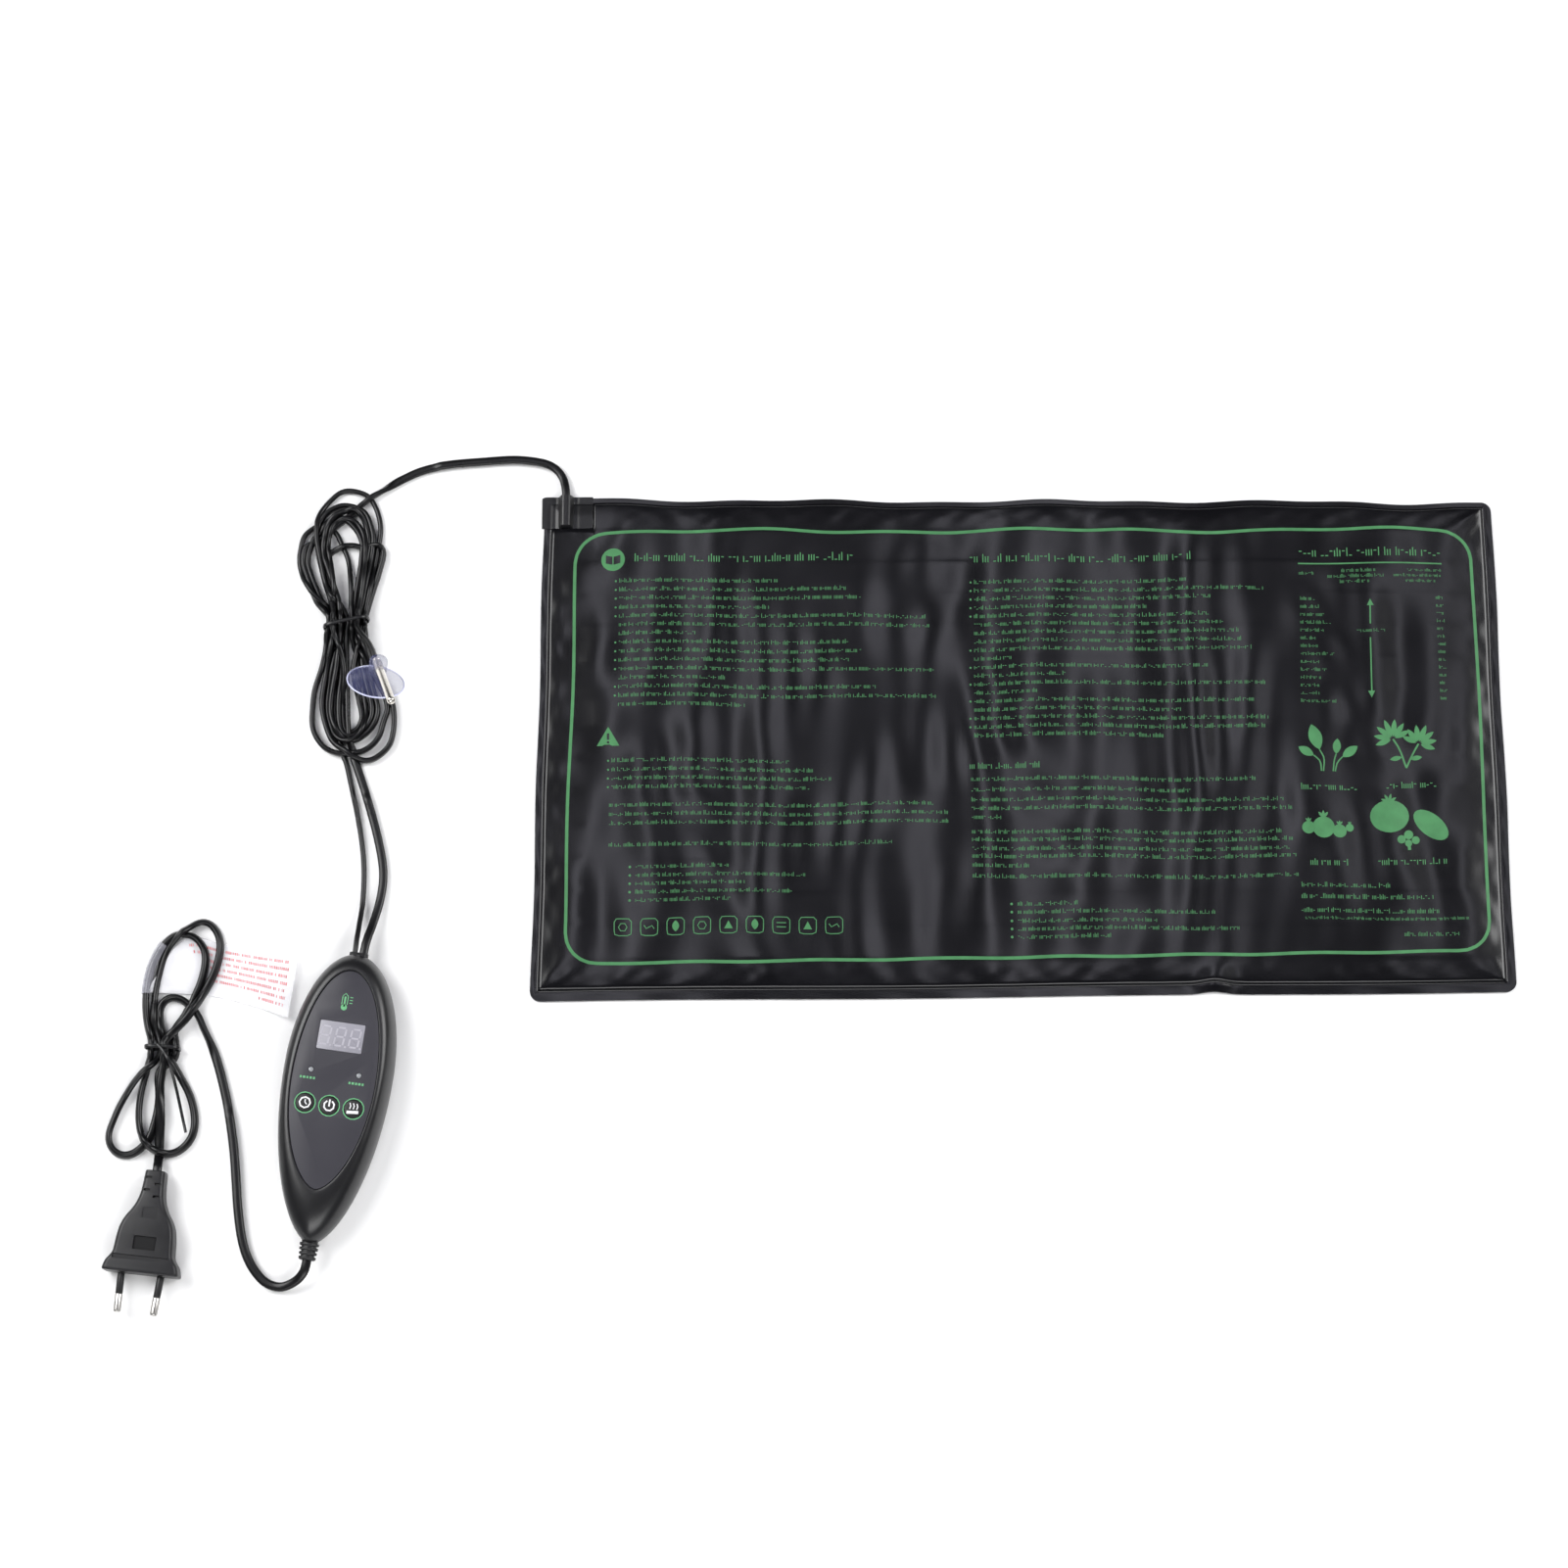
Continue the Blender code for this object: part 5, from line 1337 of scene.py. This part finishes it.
def print_right(ink, rng):
    """The heading, the scale with its arrows, the four drawings and the small print under them."""
    words(ink, rng, 141.1, 212.3, 96.7, 5.2)
    ink.ribbon([(140.4, 91.4), (212.3, 91.2)], 0.7)
    words(ink, rng, 140.6, 149.0, 86.3, 2.0)
    for y, start, end, shift in ((87.6, 162, 179, 33), (84.8, 155, 183, 29), (82.0, 161, 176, 33)):
        words(ink, rng, start, end, y, 2.2)
        words(ink, rng, start + 33, end + shift, y, 1.8)
    for k, wide in enumerate(SCALE_NAMES):
        y = 73.2 - 4.05 * k
        words(ink, rng, 140.9 - 0.12 * k, 141 + wide, y, 2.1)
        words(ink, rng, 208.6, 212.4, y, 2.0)
    ink.ribbon([(175.5, 70), (175.2, 60)], 0.7)
    ink.ribbon([(175.0, 53), (174.5, 25)], 0.7)
    words(ink, rng, 168.5, 183.0, 56.5, 2.0)
    ink.fill([(175.6, 72.8), (173.9, 69.4), (177.3, 69.4)])
    ink.fill([(174.4, 22.2), (176.1, 25.6), (172.7, 25.6)])
    for draw in (draw_sprouts, draw_flowers, draw_fruits, draw_vegetables):
        draw(ink)
    for x, end, y, tall in (
        (137.6, 165.6, -24.0, 3.9), (179.6, 204.7, -23.6, 3.9), (140.9, 160.1, -62.6, 3.9),
        (174.1, 209.2, -62.2, 3.9), (136.2, 180.0, -73.9, 2.9), (136.0, 201.0, -79.7, 2.9),
        (135.7, 203.2, -86.7, 2.8), (137.5, 217.4, -90.5, 1.9), (185.5, 213.2, -98.0, 2.6),
    ):
        words(ink, rng, x, end, y, tall)


def build_print(cover):
    """The mat's print: its border, its green marks, and the symbols' black parts over them."""
    green = surface("print_green", (0.050, 0.185, 0.070), 0.5, specular=0.3, grain=0.5, bump=0.01,
                    mottle=0.12, patch=6)
    border = Marks(mat_height)
    border.ribbon(border_line(), 1.6, closed=True)
    ink = Marks(mat_height, drift=print_drift)
    over = Marks(mat_height, proud=0.13, drift=print_drift)
    rng = np.random.default_rng(7)
    print_emblems(ink, over)
    print_left(ink, rng)
    print_middle(ink, rng)
    print_right(ink, rng)
    for marks, name, finish in (
        (border, "mat_border", green), (ink, "mat_print", green), (over, "mat_print_symbol", cover)
    ):
        marks.build(name, finish)


# ---------------------------------------------------------------- controller


def egg(half_width, top, bottom, widest, points=120):
    """An egg outline, anticlockwise: a half-ellipse above its widest line, a fuller taper below."""
    outline = []
    for k in range(points):
        angle = 2 * math.pi * (k + 0.5) / points
        rise = math.sin(angle)
        reach, fullness = (top - widest, 0.5) if rise > 0 else (widest - bottom, 0.60)
        width = half_width * (1 - rise**2) ** fullness
        outline.append((math.copysign(width, math.cos(angle)), widest + reach * rise))
    return np.array(outline)


def case_ring(by, height):
    """The case's outline drawn in about its widest line, at a height."""
    half_width, top, _, widest = CASE_EGG
    outline = egg(*CASE_EGG)
    x = outline[:, 0] * (1 - by / half_width)
    y = widest + (outline[:, 1] - widest) * (1 - by / (top - widest))
    return level(np.column_stack([x, y]), height)


def dome_rings(by, height, steps):
    """Rings from the parting line up over the case's rounded shoulder to the panel's edge."""
    rim, crown = case_ring(by, 0)[:, :2], egg(*PANEL_EGG)
    low = PARTING + 0.08
    rings = []
    for k in range(steps + 1):
        angle = math.pi / 2 * k / steps
        part = 1 - math.cos(angle)
        z = low + (height - low) * math.sin(angle) ** 0.9
        rings.append(level(rim + (crown - rim) * part, z))
    return rings


def face_cutters():
    """Cutters for the holes of the buttons, the indicators and the display."""
    span = (15, CASE_HEIGHT + 2)
    hole = BUTTON_RADIUS + 0.25
    cutters = [round_cutter(hole, *span, x, BUTTON_Y, CASE) for x in BUTTONS.values()]
    cutters += [round_cutter(1.4, *span, x, LED_Y, CASE, 32) for x in LEDS.values()]
    half_x, half_y = DISPLAY[0] / 2 + 0.15, DISPLAY[1] / 2 + 0.15
    return cutters + [block_cutter(half_x, half_y, *span, 0, DISPLAY_Y, CASE)]


# The case's profiles: how far in from its outline, and how high
LIP = [(0.12, 21.96), (0.2, 21.8), (0.22, 21.4), (0.24, PANEL_FLOOR)]
BACK_RIM = PARTING - 0.08
BACK_OUTSIDE = [(5.0, 0.0), (3.6, 0.12), (2.4, 0.6), (1.5, 1.5), (0.8, 3.0), (0.35, 4.8), (0.1, 6.8),
                (0.0, BACK_RIM)]
BACK_INSIDE = [(CASE_WALL, BACK_RIM), (CASE_WALL + 0.5, 5.0), (CASE_WALL + 1.6, 3.0),
               (CASE_WALL + 4.0, CASE_WALL)]


def build_shells():
    shell = surface("case_plastic", (0.0095, 0.0095, 0.0105), 0.30, specular=0.42, grain=0.35,
                    bump=0.006, mottle=0.15, patch=22)
    inner = dome_rings(CASE_WALL, PANEL_FLOOR - CASE_WALL, 8)
    outer = dome_rings(0, CASE_HEIGHT, 22)
    panel = egg(*PANEL_EGG)
    lip = [level(inset(panel, by), z) for by, z in LIP]
    front = loft("front_shell", inner[::-1] + outer + lip, shell, place=CASE)
    cut(front, face_cutters())
    stands_for(front, "case_black", "controller_front_shell")

    rings = [case_ring(by, z) for by, z in BACK_OUTSIDE + BACK_INSIDE]
    back = loft("back_shell", rings, shell, place=CASE)
    cut(back, [round_cutter(2.6, -1, 4.6, x, y, CASE, 32) for x, y in SCREWS])
    stands_for(back, "case_black", "controller_back_shell")
    steel = surface("zinc_plate", (0.50, 0.50, 0.49), 0.34, 1.0, grain=0.3, bump=0.004, mottle=0.1,
                    patch=2)
    for number, (x, y) in enumerate(SCREWS, 1):
        build_screw(number, on_case(x, y), steel)


def on_case(x, y):
    """The controller's frame moved to a place on it."""
    return CASE @ Matrix.Translation(Vector((x, y, 0)) * MM)


def build_screw(number, place, steel):
    """A pan-head screw from below, with its cross recess."""
    profile = [(1.2, 2.9), (1.9, 3.05), (2.2, 3.5), (2.2, 4.7), (1.1, 4.72)]
    profile += [(1.1 - 0.12 * (k % 2), 5.2 + 0.42 * k) for k in range(20)] + [(0.4, 14.2)]
    screw = turned(f"pan_head_screw_{number}", profile, steel, 32, place=place)
    cut(screw, [block_cutter(a, b, 2.0, 4.1, 0, 0, place, 0.1) for a, b in ((1.3, 0.3), (0.3, 1.3))])
    stands_for(screw, "screw_steel", f"case_screw_{number}")


def flat_marks(height, proud):
    """Marks that lie on a flat face at a height."""
    return Marks(lambda x, y: np.full(len(x), height), proud=proud)


def build_face():
    """The faceplate and its print, with what shows through its holes."""
    slate = surface("panel_film", (0.031, 0.030, 0.038), 0.46, specular=0.35, grain=0.25, bump=0.006,
                    mottle=0.06, patch=30)
    rim = egg(*PANEL_EGG)
    edge = [(0.62, 21.1), (0.55, 21.9), (0.62, 22.03), (0.75, PANEL_FACE)]
    panel = loft("face_panel", [level(inset(rim, by), z) for by, z in edge], slate, place=CASE)
    cut(panel, face_cutters())
    stands_for(panel, "faceplate", "faceplate")

    green = surface("panel_green", (0.10, 0.34, 0.15), 0.45, mottle=0.1, patch=3)
    marks = flat_marks(PANEL_FACE, 0.04)
    for x in BUTTONS.values():
        marks.ring(x, BUTTON_Y, 5.0, 0.5, 48)
    draw_thermometer(marks, -1.0, 44.6)
    for x in (-12.6, 11.0):
        for k in range(5):
            marks.bar(x - 3.2 + 1.6 * k, 5.9, 0.45 + 0.12 * (k % 2), 0.55)
    marks.build("panel_print", green, place=CASE)
    build_display()
    build_indicators()


def draw_thermometer(marks, x, y):
    """A plain thermometer beside three scale ticks."""
    marks.disc(x, y - 2.9, 1.5, 24)
    marks.ribbon([(x, y - 2.6), (x, y + 2.4)], 0.8)
    marks.ring(x, y + 2.6, 1.3, 0.4, 14, 0, math.pi)
    for side in (-1, 1):
        marks.ribbon([(x + 1.3 * side, y + 2.6), (x + 1.3 * side, y - 1.6)], 0.4)
    for k in range(3):
        marks.ribbon([(x + 2.3, y - 0.6 + 1.4 * k), (x + 3.7, y - 0.6 + 1.4 * k)], 0.4)


def build_display():
    """The display's window, with three unlit seven-segment digits and their points behind it."""
    window = surface("display_lens", (0.24, 0.235, 0.27), 0.30, mottle=0.05, patch=10)
    outline = rounded_rectangle(DISPLAY[0] / 2, DISPLAY[1] / 2, 0.5, 4, (0, DISPLAY_Y))
    pane = slab("display_pane", outline, 21.1, PANE_FACE, window, rounding=0.12, steps=3, place=CASE)
    stands_for(pane, "display", "display_window")

    unlit = surface("unlit_segment", (0.34, 0.33, 0.375), 0.35, mottle=0.05, patch=4)
    marks = flat_marks(PANE_FACE, 0.03)
    for centre in (-7.6, -0.4, 6.8):
        draw_digit(marks, centre, DISPLAY_Y - 0.1)
        marks.disc(centre + 3.1, DISPLAY_Y - 4.7, 0.5, 16)
    marks.build("display_digits", unlit, place=CASE)


# The seven segments of a digit, each between two corners of its two squares
SEGMENTS = [((-1, 1), (1, 1)), ((-1, 0), (1, 0)), ((-1, -1), (1, -1)), ((-1, 0), (-1, 1)),
            ((1, 0), (1, 1)), ((-1, -1), (-1, 0)), ((1, -1), (1, 0))]


def draw_digit(marks, x, y):
    """One unlit digit, leaning a little."""
    half, lean, shrink, stroke = (2.15, 4.4), 0.10, 0.12, 0.85
    for ends in SEGMENTS:
        a, b = (np.array(end) * half for end in ends)
        a, b = a + (b - a) * shrink, b - (b - a) * shrink
        marks.ribbon([(x + px + lean * py, y + py) for px, py in (a, b)], stroke)


def rounded_end(radius, height, wide, tall, angles):
    """The rounded end of a profile: an arc of an ellipse about (radius, height)."""
    return [(radius + wide * math.cos(a), height + tall * math.sin(a)) for a in np.linspace(*angles)]


def build_indicators():
    lens = surface("indicator_lens", (0.25, 0.26, 0.275), 0.22, mottle=0.1, patch=1.5)
    for name, x in LEDS.items():
        profile = [(0.9, 13.4), (0.9, 13.8), (1.2, 14.0), *rounded_end(0, 21.9, 1.2, 0.5, (0, 1.4, 8))]
        led = turned(f"{name}_light", profile, lens, 32, place=on_case(x, LED_Y))
        stands_for(led, "indicator", f"{name}_indicator")


def build_buttons():
    rubber = surface("button_rubber", (0.006, 0.006, 0.0065), 0.42, specular=0.4, grain=0.3,
                     bump=0.006, mottle=0.1)
    white = surface("icon_white", (0.72, 0.72, 0.74), 0.45, mottle=0.04, patch=2)
    for name, x in BUTTONS.items():
        body = f"{name}_button"
        place = on_case(x, BUTTON_Y)
        crown = rounded_end(BUTTON_RADIUS - 0.45, 21.85, 0.45, 0.4, (0, 1.5, 6))
        profile = [(5.2, 17.7), (5.2, 18.5), (BUTTON_RADIUS, 18.7), *crown, (2.4, 22.33), (0.8, 22.35)]
        cap = turned(f"{name}_cap", profile, rubber, 64, place=place, body=body)
        stands_for(cap, "button_black", body)
        marks = Marks(lambda a, b: 22.36 - 0.03 * np.hypot(a, b) / 2, proud=0.03)
        ICONS[name](marks)
        marks.build(f"{name}_icon", white, place=place, body=body)


def draw_clock(marks):
    marks.ring(0, 0, 2.6, 0.75, 36)
    marks.ribbon([(0, 1.5), (0, 0), (0.95, -0.8)], 0.55)


def draw_power(marks):
    marks.ring(0, 0, 2.5, 0.75, 30, math.radians(118), math.radians(304))
    marks.ribbon([(0, 3.0), (0, -0.4)], 0.75)


def draw_heat(marks):
    for x in (-1.7, 0.0, 1.7):
        rising = [(x + 0.35 * math.sin(4.2 * t), -0.2 + 2.9 * t) for t in np.linspace(0, 1, 10)]
        marks.ribbon(rising, 0.5)
    marks.fill([(-2.9, -2.6), (2.7, -2.1), (2.6, -0.7), (-3.0, -1.2)])


ICONS = {"timer": draw_clock, "power": draw_power, "heat": draw_heat}


def relief_profile():
    """The strain relief's radius along its length, from the tip: four ribs, a neck and a head."""
    profile = [(2.75, 0.0), (3.05, 0.15)]
    for rib in range(4):
        foot = 0.45 + 2.15 * rib
        outer = 3.45 + 0.16 * rib
        for less, up in ((0.15, 0), (0, 0.2), (0, 1.05), (0.15, 1.25), (0.7, 1.35), (0.7, 1.95)):
            profile.append((outer - less, foot + up))
    return profile + [(3.3, 9.2), (3.3, 16.3), (4.3, 16.5), (4.3, 18.1), (2.6, 18.4)]


def build_outlets():
    """The ribbed strain relief of the mains lead and the grommet of the two thin leads."""
    rubber = surface("relief_pvc", (0.013, 0.013, 0.014), 0.42, specular=0.35, grain=0.4, bump=0.01,
                     mottle=0.15)
    tip = CASE_BOTTOM - 9.2
    rings = []
    for radius, reach in relief_profile():
        x, z = (circle(radius, 40) * (1.2, 0.92)).T
        rings.append(np.column_stack([x, np.full(40, tip + reach), PARTING + z]))
    relief = loft("ribbed_strain_relief", rings, rubber, place=CASE)
    stands_for(relief, "soft_pvc", "mains_strain_relief")

    flat, flange = rounded_rectangle(4.6, 2.45, 2.2, 6), rounded_rectangle(5.9, 3.6, 2.6, 6)
    stages = ((flange, -6.6), (flange, -5.1), (flat, -4.9), (flat, 0.9), (inset(flat, 0.15), 1.15),
              (inset(flat, 0.45), 1.25))
    rings = [[(x, CASE_TOP + at, 9.15 + z) for x, z in ring] for ring, at in stages]
    grommet = loft("flat_grommet", rings, rubber, place=CASE)
    stands_for(grommet, "soft_pvc", "lead_grommet")


# ---------------------------------------------------------------- plug


# The plug's half-width, distance from its front, and half-thickness
PLUG_SECTIONS = [
    (17.6, 0.0, 6.2), (18.3, 0.5, 6.8), (18.0, 2.4, 6.8), (17.1, 5.0, 6.8), (15.5, 7.2, 6.8),
    (14.4, 9.4, 6.8), (13.9, 14.0, 6.8), (13.5, 18.0, 6.8), (12.6, 22.5, 6.8), (10.8, 26.5, 6.7),
    (8.5, 30.0, 6.5), (6.7, 33.8, 6.3), (5.6, 38.0, 6.0), (5.1, 43.0, 5.7), (4.8, 48.5, 5.4),
    (4.3, 49.3, 4.9),
]
# Where the plug's hollow for a plate is
PLATE_AT = (0.5, 14.2)
NECK_SLOTS = (36.6, 39.6, 42.6, 45.6)


def plug_cutters():
    """Cutters for the hollows in the plug's upper face, the slots of its neck and the pins' ways."""
    top = PLUG_HALF
    cutters = [
        block_cutter(5.4, 3.3, top - 0.9, top + 1, *PLATE_AT, PLUG, 0.5),
        block_cutter(13.4, 1.1, top - 0.9, top + 1, -0.6, 7.0, PLUG, 0.3),
        block_cutter(3.6, 2.6, top - 0.55, top + 1, 0.8, 28.8, PLUG, 0.5),
    ]
    for k, y in enumerate(NECK_SLOTS):
        side = 1 if k % 2 else -1
        cutters.append(block_cutter(1.6, 0.65, 4.6, top + 1, -2.4 * side, y, PLUG, 0.5))
        cutters.append(block_cutter(1.6, 0.65, -top - 1, -4.6, 2.4 * side, y, PLUG, 0.5))
    return cutters + [cutter(circle(1.6, 24), -12.3, 2, pin_place(side)) for side in (-1, 1)]


def build_plug():
    black = surface("plug_plastic", (0.0072, 0.0072, 0.0086), 0.40, specular=0.34, grain=0.3,
                    bump=0.012, mottle=0.12, patch=9)
    sections = smooth_route([(y, wide, thick) for wide, y, thick in PLUG_SECTIONS], 0.7)
    rings = []
    for y, wide, thick in sections:
        rings.append([(x, y, z) for x, z in rounded_rectangle(wide, thick, 2.3, 6)])
    body = loft("plug_shell", rings, black, place=PLUG)
    cut(body, plug_cutters())
    inlay = surface("plug_inlay", (0.0060, 0.0060, 0.0066), 0.60, specular=0.2)
    outline = rounded_rectangle(5.2, 3.1, 0.5, 4, PLATE_AT)
    plate = slab("plug_inlay", outline, PLUG_HALF - 1.0, PLUG_HALF - 0.82, inlay, place=PLUG)
    stands_for(body, "plug_black", "plug_body")
    return [body, *build_pins()]


def build_pins():
    """The two pins and the insulating sleeves round them."""
    black = surface("sleeve_plastic", (0.012, 0.012, 0.013), 0.38, specular=0.4, mottle=0.1, patch=3)
    nickel = surface("nickel", (0.46, 0.45, 0.43), 0.32, 1.0, grain=0.2, bump=0.002, mottle=0.05,
                     patch=2)
    nose = rounded_end(0.8, 17.9, 1.05, 1.1, (0, 1.57, 7))
    contact = [(1.3, -12), (1.3, 10.4), (1.80, 10.5), (1.85, 10.7), *nose]
    insulation = [(1.35, 0.2), (1.72, 0.2), (1.75, 0.4), (1.75, 10.0), (1.65, 10.25), (1.35, 10.3)]
    pieces = []
    for side, name in ((-1, "left"), (1, "right")):
        place = pin_place(side)
        pin = turned(f"{name}_contact", contact, nickel, 40, place=place)
        sleeve = turned(f"{name}_insulation", insulation, black, 40, looped=True, place=place)
        stands_for(pin, "pin_nickel", f"{name}_pin")
        stands_for(sleeve, "plug_black", f"{name}_pin_sleeve")
        pieces += [pin, sleeve]
    return pieces


def pin_place(side):
    """A pin's frame: +Z out of the plug's front, turned in a little."""
    toe_in = Matrix.Rotation(math.radians(-side * PIN_TOE_IN), 4, "Z")
    outward = Matrix.Rotation(math.pi / 2, 4, "X")
    return PLUG @ Matrix.Translation(Vector((side * PIN_SPREAD, 0, 0)) * MM) @ (toe_in @ outward)


# ---------------------------------------------------------------- probe and suction cup


# The suction cup's profile along its axis, from its nipple's end over the outside and back inside
CUP_PROFILE = [
    (0.8, 4.62), (2.0, 4.6), (2.9, 4.5), (3.8, 4.0), (4.3, 3.3), (4.5, 2.2), (4.5, 0), (4.5, -2.4),
    (4.2, -3.3), (3.9, -4.0), (4.0, -4.6), (4.5, -5.05), (5.8, -5.6), (7.4, -6.2), (9.2, -6.85),
    (11.0, -7.6), (12.4, -8.3), (13.4, -8.9), (13.95, -9.4), (14.0, -9.7), (13.7, -9.9),
    (13.1, -9.75), (12.0, -9.25), (10.6, -8.6), (8.7, -8.05), (6.6, -7.5), (4.8, -7.15), (3.0, -6.9),
    (0.8, -6.72),
]
CUP_RIM = [(13.98, -9.2), (14.35, -9.45), (14.3, -9.85), (13.8, -10.0), (13.6, -9.7)]


def build_probe():
    steel = surface("polished_steel", (0.66, 0.63, 0.58), 0.20, 1.0, grain=0.25, bump=0.002,
                    mottle=0.08, patch=4, stretch=(1, 1, 0.3))
    profile = [(1.5, -5.0), (1.95, -4.8), (PROBE_RADIUS, -4.4), (PROBE_RADIUS, -3.2), (1.85, -2.9),
               (1.85, -2.2), (PROBE_RADIUS, -1.9), (PROBE_RADIUS, 30.2)]
    profile += rounded_end(0, 30.2, PROBE_RADIUS, 1.8, (0.15, 1.45, 9))
    tube = turned("probe_sleeve", profile, steel, 48, place=PROBE)
    stands_for(tube, "probe_steel", "probe_tube")

    clear = see_through(surface("cup_pvc", (0.11, 0.12, 0.27), 0.10, specular=0.7, mottle=0.06, patch=6),
                        0.12, 0.55)
    # The rim gets a light, opaque copy of the cup's clear PVC: a painted highlight along the cup's edge
    rim_painted_highlight = surface("rim_painted_highlight", (0.62, 0.64, 0.86), 0.12, specular=0.7, mottle=0.03, patch=5)
    cup = turned("clear_cup", CUP_PROFILE, clear, 96, place=CUP, body="suction_cup")
    cut(cup, [cutter(circle(PROBE_RADIUS + 0.3, 40), -9, 9, PROBE)])
    stands_for(cup, "clear_pvc", "suction_cup")
    rim = turned("cup_rim", CUP_RIM, rim_painted_highlight, 96, looped=True, place=CUP, body="suction_cup")
    return tube, cup, rim


# ---------------------------------------------------------------- the CAD nodes that stay


# Each look: its name, colour, roughness, how metallic it is, grain, bump, mottle and patch, and the
# nodes that have it
INSIDE = [
    ("wire_jacket", (0.42, 0.10, 0.05), 0.40, 0, 0.2, 0.004, 0.15, 8, ["heating_wire"]),
    ("splice_pvc", (0.68, 0.66, 0.60), 0.45, 0, 0.6, 0, 0.08, 2, ["splice_left", "splice_right"]),
    ("solder_mask", (0.02, 0.14, 0.05), 0.38, 0, 0.5, 0.012, 0.25, 3, ["circuit_board"]),
    ("moulded_black", (0.022, 0.022, 0.024), 0.42, 0, 0.25, 0.01, 0.15, 2,
     ["microcontroller", *[f"{name}_switch_body" for name in BUTTONS]]),
    ("relay_case", (0.03, 0.09, 0.33), 0.34, 0, 0.4, 0.004, 0.1, 5, ["relay"]),
    ("film_case", (0.62, 0.42, 0.05), 0.38, 0, 0.4, 0.006, 0.08, 5, ["film_capacitor"]),
    ("can_aluminium", (0.60, 0.60, 0.62), 0.28, 1, 0.2, 0.003, 0.06, 3, ["smoothing_capacitor"]),
    ("fuse_tube", (0.70, 0.73, 0.73), 0.08, 0, 0.6, 0, 0.04, 2, ["fuse"]),
    ("display_case", (0.55, 0.55, 0.58), 0.40, 0, 0.3, 0.006, 0.05, 4, ["display_module"]),
    ("plunger_nylon", (0.28, 0.18, 0.10), 0.45, 0, 0.6, 0, 0.1, 1.5,
     [f"{name}_switch_plunger" for name in BUTTONS]),
]


def finish_inside():
    """Finishes for the CAD's own solids that stay: the insides of the mat and the controller."""
    for look, colour, roughness, metallic, grain, bump, mottle, patch, names in INSIDE:
        finish = surface(look, colour, roughness, metallic, 0.5, grain, bump, mottle, patch)
        for name in names:
            for place in NODES[name].material_slots:
                place.link = "OBJECT"
                place.material = finish


def main():
    build_camera()
    build_lights()
    build_floor()
    bpy.context.scene.view_settings.view_transform = "Standard"
    plug_pieces = build_plug()
    probe_pieces = build_probe()
    build_leads()
    build_mat()
    build_shells()
    build_face()
    build_buttons()
    build_outlets()
    finish_inside()


HOLE = plain("cutter", (0.5, 0.5, 0.5), 0.5)
main()
